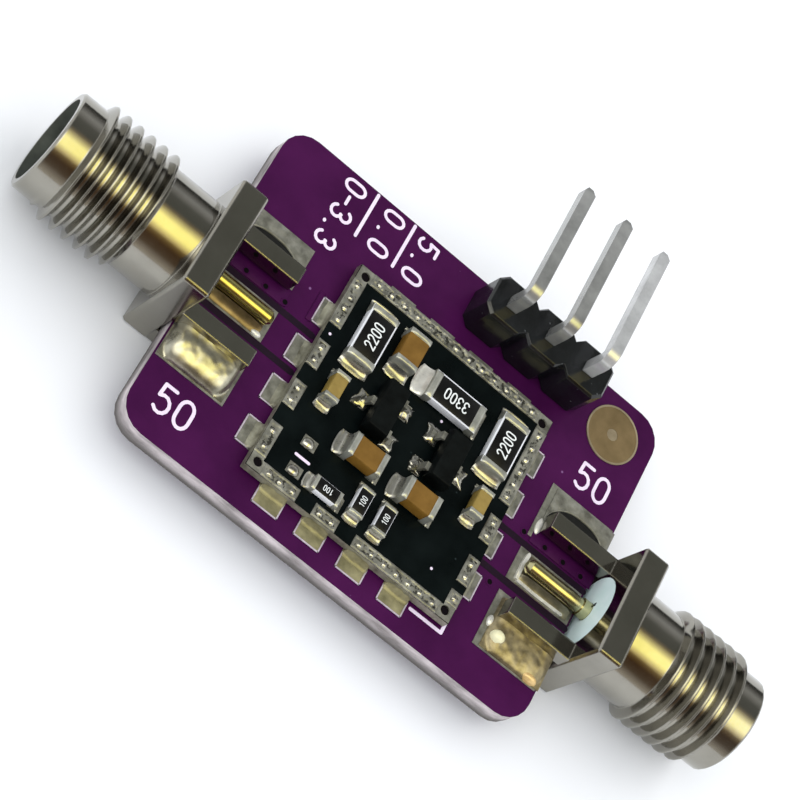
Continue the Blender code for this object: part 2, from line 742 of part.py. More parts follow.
def build_header(origin, paint):
    housing = finish("header_housing", housing_shape(), paint["black_plastic"], origin)
    combine(housing, finish("header_holes_tool", housing_holes(), None, origin), "DIFFERENCE")
    under = -BOARD_THICKNESS - LAND_THICKNESS - SEAT
    for number, x in enumerate(pin_places(), start=1):
        place = (x, HEADER_Y, 0.0)
        finish(f"header_pin_{number}", pin_shape(), paint["pin_tin"], origin, place)
        name = f"header_solder_{number}"
        joint = finish(name, tail_solder(), paint["solder"], origin, (x, HEADER_Y, under), 40)
        joint.rotation_euler = (0.0, math.radians(90), 0.0)


# Attenuator board and what it carries


def on_module(x_share, y_share):
    return MODULE_X + x_share * MODULE_LENGTH / 2, MODULE_Y + y_share * MODULE_DEPTH / 2


def chip_kinds():
    """Name, places, length, width, height, terminal, chamfer and material of each chip kind."""
    return (
        ("large_resistor", LARGE_RESISTOR_SHARES, LARGE_RESISTOR_LENGTH, LARGE_RESISTOR_WIDTH,
         LARGE_RESISTOR_HEIGHT, LARGE_RESISTOR_TERMINAL, RESISTOR_CHAMFER, "resistor"),
        ("small_resistor", SMALL_RESISTOR_SHARES, SMALL_RESISTOR_LENGTH, SMALL_RESISTOR_WIDTH,
         SMALL_RESISTOR_HEIGHT, SMALL_RESISTOR_TERMINAL, RESISTOR_CHAMFER, "resistor"),
        ("large_capacitor", LARGE_CAPACITOR_SHARES, LARGE_CAPACITOR_LENGTH, LARGE_CAPACITOR_WIDTH,
         LARGE_CAPACITOR_HEIGHT, LARGE_CAPACITOR_TERMINAL, CAPACITOR_CHAMFER, "brown_capacitor"),
        ("small_capacitor", SMALL_CAPACITOR_SHARES, SMALL_CAPACITOR_LENGTH, SMALL_CAPACITOR_WIDTH,
         SMALL_CAPACITOR_HEIGHT, SMALL_CAPACITOR_TERMINAL, CAPACITOR_CHAMFER, "tan_capacitor"),
    )


def chip_lands():
    """Middle and half size of the two lands under each chip."""
    places = []
    span = (CHIP_LAND_REACH + CHIP_LAND_UNDERLAP) / 2
    middle_shift = (CHIP_LAND_REACH - CHIP_LAND_UNDERLAP) / 2
    for _, spots, length, width, *_ in chip_kinds():
        for x_share, y_share, turned_across in spots:
            x, y = on_module(x_share, y_share)
            for sign in (-1, 1):
                shift = sign * (length / 2 + middle_shift)
                if turned_across:
                    places.append((x, y + shift, width / 2, span))
                else:
                    places.append((x + shift, y, span, width / 2))
    return places


def diode_leads():
    """Place along the body and side of each of a diode's three leads."""
    return ((0.0, -1), (DIODE_LEAD_PITCH / 2, 1), (-DIODE_LEAD_PITCH / 2, 1))


def diode_lands():
    places = []
    half = (DIODE_FOOT_LENGTH + CHIP_LAND_REACH) / 2
    for x_share, y_share, facing in DIODE_SHARES:
        x, y = on_module(x_share, y_share)
        for along, side in diode_leads():
            outward = DIODE_SPAN / 2 - DIODE_FOOT_LENGTH / 2
            places.append((x + facing * side * outward, y + along, half, DIODE_LAND_WIDTH / 2))
    return places


def module_lands():
    """Tinned edge lands and part lands, all in one tool that is joined to the board."""
    shape = bmesh.new()
    low, high = MODULE_TOP - OVERRUN, MODULE_TOP + LAND_THICKNESS
    half_x, half_y = MODULE_LENGTH / 2 - SEAT, MODULE_DEPTH / 2 - SEAT
    rear = half_y - EDGE_LAND_WIDTH
    strips = [(-half_x, half_x, rear, half_y)]
    for side, shares in ((-1, LEFT_LAND_SHARES), (1, RIGHT_LAND_SHARES)):
        ends = sorted((side * half_x, side * (half_x - EDGE_LAND_WIDTH)))
        strips += [(ends[0], ends[1], a * half_y, b * half_y) for a, b in shares]
    for a, b in FRONT_LAND_SHARES:
        strips.append((a * half_x, b * half_x, -half_y, -rear))
    for x0, x1, y0, y1 in strips:
        add_box(shape, (MODULE_X + x0, MODULE_Y + y0, low), (MODULE_X + x1, MODULE_Y + y1, high))
    spare = [(*on_module(*share), SMALL_CAPACITOR_WIDTH / 2, CHIP_LAND_REACH) for share in SPARE_LAND_SHARES]
    for x, y, reach_x, reach_y in chip_lands() + diode_lands() + spare:
        add_box(shape, (x - reach_x, y - reach_y, low), (x + reach_x, y + reach_y, high))
    return shape


def module_holes():
    shape = bmesh.new()
    reach_x = MODULE_LENGTH / 2 - CORNER_HOLE_INSET
    reach_y = MODULE_DEPTH / 2 - CORNER_HOLE_INSET
    for sign_x in (-1, 1):
        for sign_y in (-1, 1):
            place = (MODULE_X + sign_x * reach_x, MODULE_Y + sign_y * reach_y)
            ring = circle(CORNER_HOLE_DIAMETER / 2, SMALL_SEGMENTS, place)
            add_prism(shape, ring, MODULE_UNDERSIDE - OVERRUN, MODULE_TOP + OVERRUN)
    return shape


def chip_shape(length, width, height, terminal, chamfer):
    """Block along X whose wrapped metal ends stand a little proud of its middle."""
    shape = bmesh.new()
    end = length / 2
    inner = end - terminal

    def ring(x, inset):
        half = width / 2 - inset
        low, high = inset, height - inset
        clip = chamfer
        corners = [
            (half - clip, low), (half, low + clip), (half, high - clip), (half - clip, high),
            (clip - half, high), (-half, high - clip), (-half, low + clip), (clip - half, low),
        ]
        return [(x, y, z) for y, z in corners]

    stations = [
        (-end, chamfer), (chamfer - end, 0.0), (-inner, 0.0), (-inner, TERMINAL_STEP),
        (inner, TERMINAL_STEP), (inner, 0.0), (end - chamfer, 0.0), (end, chamfer),
    ]
    loft(shape, [ring(x, inset) for x, inset in stations])
    return shape


def build_chips(origin, paint):
    for name, spots, length, width, height, terminal, chamfer, colour in chip_kinds():
        for number, (x_share, y_share, turned_across) in enumerate(spots, start=1):
            shape = chip_shape(length, width, height, terminal, chamfer)
            place = (*on_module(x_share, y_share), CHIP_SEAT)
            chip = finish(f"{name}_{number}", shape, paint[colour], origin, place)
            chip.rotation_euler = (0.0, 0.0, math.radians(90 if turned_across else 0))


def diode_parting():
    return DIODE_STANDOFF + DIODE_HEIGHT * DIODE_PARTING_SHARE


def diode_body():
    """Moulded body that tapers up and down from the parting line its leads leave at."""
    shape = bmesh.new()
    levels = [
        (DIODE_STANDOFF, DIODE_DRAFT),
        (diode_parting(), 0.0),
        (DIODE_STANDOFF + DIODE_HEIGHT, DIODE_DRAFT),
    ]
    rings = []
    for level, inset in levels:
        half_x, half_y = DIODE_WIDTH / 2 - inset, DIODE_LENGTH / 2 - inset
        corners = ((-half_x, -half_y), (half_x, -half_y), (half_x, half_y), (-half_x, half_y))
        rings.append([(x, y, level) for x, y in corners])
    loft(shape, rings)
    return shape


def diode_pockets():
    shape = bmesh.new()
    for along, side in diode_leads():
        ends = (side * (DIODE_WIDTH / 2 - DIODE_LEAD_DEPTH), side * (DIODE_WIDTH / 2 + OVERRUN))
        half = DIODE_LEAD_WIDTH / 2 + SEAT
        rise = DIODE_LEAD_THICKNESS / 2 + SEAT
        low = (min(ends), along - half, diode_parting() - rise)
        high = (max(ends), along + half, diode_parting() + rise)
        add_box(shape, low, high)
    return shape


def diode_lead():
    """Gull-wing lead from its pocket in the body down to a flat foot, leaving along +Y."""
    shape = bmesh.new()
    half = DIODE_LEAD_THICKNESS / 2
    root = DIODE_WIDTH / 2 - DIODE_LEAD_DEPTH + SEAT
    tip = DIODE_SPAN / 2
    heel = tip - DIODE_FOOT_LENGTH
    knee = (DIODE_WIDTH / 2 + heel) / 2
    path = [(root, diode_parting()), (knee, diode_parting()), (heel, half), (tip, half)]
    swept_strip(shape, path, DIODE_LEAD_WIDTH / 2, half)
    return shape


def build_diodes(origin, paint):
    for number, (x_share, y_share, facing) in enumerate(DIODE_SHARES, start=1):
        place = (*on_module(x_share, y_share), CHIP_SEAT)
        name = f"diode_{number}"
        frame = empty(name + "_frame", place, origin, 0.0 if facing > 0 else math.pi)
        body = finish(name + "_body", diode_body(), paint["black_plastic"], frame)
        combine(body, finish(name + "_pockets_tool", diode_pockets(), None, frame), "DIFFERENCE")
        for lead_number, (along, side) in enumerate(diode_leads(), start=1):
            lead = finish(f"{name}_lead_{lead_number}", diode_lead(), paint["solder"], frame)
            lead.location = (0.0, along, 0.0)
            lead.rotation_euler = (0.0, 0.0, math.radians(-90 * side))


def edge_bead(length):
    """Solder bead against the attenuator board's side wall, along X with its wall at y = 0."""
    section = [(0.0, 0.0)] + fillet_curve(0.0, EDGE_BEAD_REACH, EDGE_BEAD_HEIGHT, 0.0)

    def place(outward, up):
        return outward, up

    return lengthwise_bead(section, -length / 2, length / 2, place)


def build_edge_beads(origin, paint):
    """One bead on each land at the left, right and front, and one long bead at the rear."""
    steps = [(index - (LAND_ROW_COUNT - 1) / 2) * LAND_PITCH for index in range(LAND_ROW_COUNT)]
    level = LAND_THICKNESS + SEAT
    left = MODULE_X - MODULE_LENGTH / 2 - SEAT
    right = MODULE_X + MODULE_LENGTH / 2 + SEAT
    front = MODULE_Y - MODULE_DEPTH / 2 - SEAT
    rear = MODULE_Y + MODULE_DEPTH / 2 + SEAT
    rear_length = (LAND_ROW_COUNT - 1) * LAND_PITCH + EDGE_BEAD_LENGTH
    beads = []
    for number, step in enumerate(steps, start=1):
        beads.append((f"left_{number}", left, MODULE_Y + LEFT_ROW_SHIFT + step, 90, EDGE_BEAD_LENGTH))
        beads.append((f"right_{number}", right, MODULE_Y + RIGHT_ROW_SHIFT + step, -90, EDGE_BEAD_LENGTH))
        beads.append((f"front_{number}", MODULE_X + FRONT_ROW_SHIFT + step, front, 180, EDGE_BEAD_LENGTH))
    beads.append(("rear", MODULE_X - FRONT_ROW_SHIFT, rear, 0, rear_length))
    for label, x, y, degrees, length in beads:
        place = (x, y, level)
        bead = finish("edge_solder_" + label, edge_bead(length), paint["solder"], origin, place, 40)
        bead.rotation_euler = (0.0, 0.0, math.radians(degrees))


def build_module(origin, paint):
    shape = bmesh.new()
    half_x, half_y = MODULE_LENGTH / 2, MODULE_DEPTH / 2
    low = (MODULE_X - half_x, MODULE_Y - half_y, MODULE_UNDERSIDE)
    high = (MODULE_X + half_x, MODULE_Y + half_y, MODULE_TOP)
    add_box(shape, low, high)
    board = finish("attenuator_board", shape, paint["black_board"], origin)
    combine(board, finish("attenuator_lands_tool", module_lands(), None, origin), "UNION")
    combine(board, finish("attenuator_holes_tool", module_holes(), None, origin), "DIFFERENCE")
    build_chips(origin, paint)
    build_diodes(origin, paint)
    build_edge_beads(origin, paint)


def main():
    clear_scene()
    paint = {
        "purple": material("purple_board", (0.07, 0.012, 0.08), 0.35, 0.0),
        "nickel": material("nickel_plate", (0.62, 0.60, 0.53), 0.22, 1.0),
        "gold": material("gold_plate", (0.75, 0.60, 0.15), 0.25, 1.0),
        "ptfe": material("white_insulator", (0.72, 0.84, 0.84), 0.45, 0.0),
        "solder": material("solder", (0.62, 0.61, 0.55), 0.28, 1.0),
        "black_plastic": material("black_plastic", (0.012, 0.013, 0.015), 0.4, 0.0),
        "pin_tin": material("tinned_pin", (0.60, 0.59, 0.55), 0.3, 1.0),
        "black_board": material("black_board", (0.006, 0.008, 0.009), 0.4, 0.0),
        "resistor": material("chip_resistor", (0.02, 0.02, 0.022), 0.35, 0.0),
        "brown_capacitor": material("brown_ceramic", (0.23, 0.12, 0.035), 0.4, 0.0),
        "tan_capacitor": material("tan_ceramic", (0.42, 0.29, 0.11), 0.4, 0.0),
    }
    origin = empty("board_top_middle", (BOARD_X, BOARD_Y, BOARD_TOP))
    build_carrier(origin, paint)
    left_fillets = {"rear": (THIN_FILLET, 0.0), "front": (HEAPED_FILLET, 0.8)}
    right_fillets = {"rear": (MIDDLE_FILLET, 0.0), "front": (HEAPED_FILLET, 0.6)}
    build_jack("left_jack", origin, -1, LEFT_JACK_Y, left_fillets, paint)
    build_jack("right_jack", origin, 1, RIGHT_JACK_Y, right_fillets, paint)
    build_header(origin, paint)
    build_module(origin, paint)
    bpy.context.view_layer.update()


main()
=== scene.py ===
"""Looks of the RF attenuator module: camera, light, materials and fine detail.

Fine pieces are drawn in millimetres from the middle of the carrier board's top
face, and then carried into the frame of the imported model.
"""

import math
from functools import partial

import bmesh
import bpy
from mathutils import Matrix, Vector, noise


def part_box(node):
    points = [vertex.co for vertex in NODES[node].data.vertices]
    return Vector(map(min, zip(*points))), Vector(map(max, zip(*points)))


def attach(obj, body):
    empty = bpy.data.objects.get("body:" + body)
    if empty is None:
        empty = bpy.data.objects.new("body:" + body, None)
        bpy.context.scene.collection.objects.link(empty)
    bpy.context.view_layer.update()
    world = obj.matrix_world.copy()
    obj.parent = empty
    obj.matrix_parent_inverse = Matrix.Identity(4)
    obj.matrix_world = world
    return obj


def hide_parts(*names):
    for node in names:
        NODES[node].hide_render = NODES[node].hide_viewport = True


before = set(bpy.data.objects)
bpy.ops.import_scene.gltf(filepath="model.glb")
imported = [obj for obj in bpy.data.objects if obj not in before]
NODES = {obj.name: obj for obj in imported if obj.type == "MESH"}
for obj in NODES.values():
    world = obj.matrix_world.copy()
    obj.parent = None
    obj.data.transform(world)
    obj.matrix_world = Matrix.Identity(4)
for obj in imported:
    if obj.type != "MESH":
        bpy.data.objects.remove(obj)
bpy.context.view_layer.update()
ROOT = "root"

# Millimetres from the carrier board's middle to metres in the model's frame
MM = 0.001
BOARD_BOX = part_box("carrier_board")
MODULE_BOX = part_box("attenuator_board")
BOARD_MIDDLE = (BOARD_BOX[0] + BOARD_BOX[1]) / 2
LAND_RISE = 0.04
BOARD_TOP = BOARD_BOX[1].z - LAND_RISE * MM
TO_WORLD = Matrix.Translation((BOARD_MIDDLE.x, BOARD_MIDDLE.y, BOARD_TOP)) @ Matrix.Scale(MM, 4)
TO_BOARD = TO_WORLD.inverted()
MODULE_LOW = TO_BOARD @ MODULE_BOX[0]
MODULE_HIGH = TO_BOARD @ MODULE_BOX[1]
MODULE_TOP = MODULE_HIGH.z - LAND_RISE


# ---------------- camera and light

# Camera that matches the photograph
LENS = 129.19636
SENSOR_WIDTH = 36
CAMERA_RIGHT = Vector((0.744269, 0.417026, 0.521683))
CAMERA_DOWN = Vector((0.60833, -0.745699, -0.271785))
CAMERA_FORWARD = Vector((0.275678, 0.519637, -0.80869))
CAMERA_PLACE = Vector((-0.038721, -0.073157, 0.113433))

# Room's light, and the strength with which polished faces see the ceiling
ROOM_COLOUR = (0.93, 0.96, 1.0, 1.0)
ROOM_STRENGTH = 1.16
SEEN_STRENGTH = 1.15

# Ceiling's tone by its turn about the part's length, from rear (0) to front (1)
CEILING = (
    (0.0, (0.03, 0.03, 0.03)), (0.045, (0.05, 0.05, 0.045)), (0.1, (0.22, 0.22, 0.22)),
    (0.16, (0.45, 0.46, 0.47)), (0.2, (0.38, 0.38, 0.38)), (0.27, (0.165, 0.17, 0.156)),
    (0.39, (0.135, 0.14, 0.125)), (0.43, (0.34, 0.27, 0.16)), (0.48, (1.4, 1.22, 0.5)),
    (0.53, (2.8, 2.58, 0.8)), (0.62, (2.8, 2.55, 0.75)), (0.68, (1.4, 1.12, 0.42)),
    (0.72, (0.3, 0.18, 0.045)), (0.78, (0.1, 0.048, 0.014)), (0.88, (0.15, 0.1, 0.06)),
    (1.0, (0.66, 0.6, 0.52)),
)

# Where along the part the ceiling has its full colour, how far that goes, and the share of
# colour that is left beyond it
STRIP_END = 0.27
STRIP_END_REACH = 0.16
ASIDE_SATURATION = 0.22

# Pale end walls: where they begin and are full, and their colour
WALL_START = 0.5
WALL_FULL = 0.85
WALL_COLOUR = (0.85, 0.86, 0.86, 1.0)

FLOOR_REACH = 2
FLOOR_COLOUR = (0.93, 0.93, 0.935)

# Soft lamps, unseen in polished faces: name, place, size, energy and colour
LAMPS = (
    ("key", (0.16, 0.22, 0.34), 0.36, 0.3, (1.0, 0.98, 0.95)),
    ("fill", (-0.3, -0.16, 0.36), 0.4, 0.15, (0.94, 0.97, 1.0)),
)


def new_object(name, data):
    made = bpy.data.objects.new(name, data)
    bpy.context.scene.collection.objects.link(made)
    return made


def add_camera():
    data = bpy.data.cameras.new("camera")
    data.lens = LENS
    data.sensor_width = SENSOR_WIDTH
    data.clip_start = 0.01
    data.clip_end = 4
    camera = new_object("camera", data)
    matrix = Matrix((CAMERA_RIGHT, -CAMERA_DOWN, -CAMERA_FORWARD)).transposed().to_4x4()
    matrix.translation = CAMERA_PLACE
    camera.matrix_world = matrix
    bpy.context.scene.camera = camera
    bpy.context.scene.view_settings.view_transform = "Standard"


def set_inputs(tree, node, inputs):
    """Links an input to a socket or a node's first output, or sets its value."""
    for name, value in inputs.items():
        if isinstance(value, bpy.types.Node):
            value = value.outputs[0]
        if isinstance(value, bpy.types.NodeSocket):
            tree.links.new(value, node.inputs[name])
        else:
            node.inputs[name].default_value = value


def add_node(tree, kind, inputs=None, **settings):
    """Shader node with its settings, and then its inputs."""
    made = tree.nodes.new("ShaderNode" + kind)
    for name, value in settings.items():
        setattr(made, name, value)
    set_inputs(tree, made, inputs or {})
    return made


def add_world():
    """White room, in which polished faces see a dim ceiling with one warm strip of light."""
    world = bpy.data.worlds.new("room")
    bpy.context.scene.world = world
    world.use_nodes = True
    tree = world.node_tree
    tree.nodes.clear()
    add = partial(add_node, tree)

    # The turn about the part's length picks the tone
    place = add("TexCoord")
    split = add("SeparateXYZ", {0: place.outputs["Generated"]})
    x, y, z = (split.outputs[axis] for axis in "XYZ")
    angle = add("Math", {0: z, 1: y}, operation="ARCTAN2")
    share = add("Math", {0: angle, 1: math.pi}, operation="DIVIDE")
    ramp = add("ValToRGB", {0: share})
    while len(ramp.color_ramp.elements) < len(CEILING):
        ramp.color_ramp.elements.new(0.5)
    for element, (position, tone) in zip(ramp.color_ramp.elements, CEILING):
        element.position = position
        element.color = (*tone, 1.0)

    # Tones are strong only near the strip's end, and the end walls are pale
    aside = add("Math", {0: x, 1: STRIP_END, 2: STRIP_END_REACH}, operation="COMPARE")
    paler = add("MapRange", {"Value": aside, "To Min": ASIDE_SATURATION, "To Max": 1.0})
    grey = add("HueSaturation", {"Saturation": paler, "Color": ramp})
    far = add("Math", {0: x}, operation="ABSOLUTE")
    walls = add("MapRange", {"Value": far, "From Min": WALL_START, "From Max": WALL_FULL},
                interpolation_type="SMOOTHSTEP")
    room = add("Mix", {"Factor": walls, "A": grey, "B": WALL_COLOUR}, data_type="RGBA")

    path = add("LightPath")
    plain = add("Background", {"Color": ROOM_COLOUR, "Strength": ROOM_STRENGTH})
    shiny = add("Background", {"Color": room.outputs["Result"], "Strength": SEEN_STRENGTH})
    mix = add("MixShader", {0: path.outputs["Is Glossy Ray"], 1: plain, 2: shiny})
    add("OutputWorld", {0: mix})


def add_lamp(name, place, size, energy, colour):
    data = bpy.data.lights.new(name, "AREA")
    data.shape = "DISK"
    data.size = size
    data.energy = energy
    data.color = colour
    light = new_object(name, data)
    light.location = place
    light.rotation_euler = (-Vector(place)).to_track_quat("-Z", "Y").to_euler()
    light.visible_glossy = False


def add_floor():
    mesh = bpy.data.meshes.new("floor")
    far = FLOOR_REACH
    corners = [(-far, -far, 0), (far, -far, 0), (far, far, 0), (-far, far, 0)]
    mesh.from_pydata(corners, [], [(0, 1, 2, 3)])
    floor = new_object("floor", mesh)
    mesh.materials.append(simple("floor_paper", FLOOR_COLOUR, None, 0.75, 0.015, 60))


# ---------------- materials

def add_specks(add, mapping, under, colour, scale, size):
    """Small round specks of another colour."""
    dots = add("TexVoronoi", {"Vector": mapping, "Scale": scale})
    edge = add("MapRange", {"Value": dots.outputs["Distance"], "From Min": size,
                            "From Max": size * 1.7, "To Min": 1.0, "To Max": 0.0})
    mix = add("Mix", {"Factor": edge, "A": under, "B": (*colour, 1.0)}, data_type="RGBA")
    return mix.outputs["Result"]


def add_painted_shade(add, over, shade, low_z, high_z):
    """Painted shade: turns the colour to a dark shade from one height down to another."""
    spot = add("NewGeometry")
    split = add("SeparateXYZ", {0: spot.outputs["Position"]})
    rise = add("MapRange", {"Value": split.outputs["Z"], "From Min": low_z, "From Max": high_z})
    mix = add("Mix", {"Factor": rise, "A": (*shade, 1.0), "B": over}, data_type="RGBA")
    return mix.outputs["Result"]


def simple(name, dark, light, rough, vary, scale, metal=0.0, bump=0.0, bump_scale=3000,
           rough_vary=0.1, stretch=(1, 1, 1), specular=0.5, speck=None, painted_shade=None, soft=0.0):
    """Principled material whose tone, gloss and fine relief all follow noise on the object.

    Bump and soft are lengths in millimetres: the relief's height, and the radius of worn edges.
    """
    made = bpy.data.materials.new(name)
    made.use_nodes = True
    tree = made.node_tree
    add = partial(add_node, tree)
    place = add("TexCoord")
    mapping = add("Mapping", {"Vector": place.outputs["Object"], "Scale": stretch})
    grain = add("TexNoise", {"Vector": mapping, "Scale": scale, "Detail": 5.0, "Roughness": 0.6})
    colour = add("ValToRGB", {0: grain.outputs["Fac"]})
    low = [c * (1 - vary) for c in dark]
    high = [min(1.0, c * (1 + vary)) for c in (light or dark)]
    for element, position, tone in zip(colour.color_ramp.elements, (0.3, 0.7), (low, high)):
        element.position = position
        element.color = (*tone, 1.0)
    if speck:
        colour = add_specks(add, mapping, colour, *speck)
    # Painted shade, if given: the colour darkens downwards as if in shadow
    if painted_shade:
        colour = add_painted_shade(add, colour, *painted_shade)
    gloss = add("MapRange", {"Value": grain.outputs["Fac"],
                             "To Min": max(0.02, rough - rough_vary),
                             "To Max": min(1.0, rough + rough_vary)})
    look = {"Base Color": colour, "Roughness": gloss, "Metallic": metal,
            "Specular IOR Level": specular}
    if bump:
        relief = add("TexNoise", {"Vector": mapping, "Scale": bump_scale, "Detail": 4.0})
        raised = {"Height": relief.outputs["Fac"], "Strength": 0.6, "Distance": bump * MM}
        if soft:
            raised["Normal"] = add("Bevel", {"Radius": soft * MM}, samples=6)
        look["Normal"] = add("Bump", raised)
    set_inputs(tree, tree.nodes["Principled BSDF"], look)
    return made


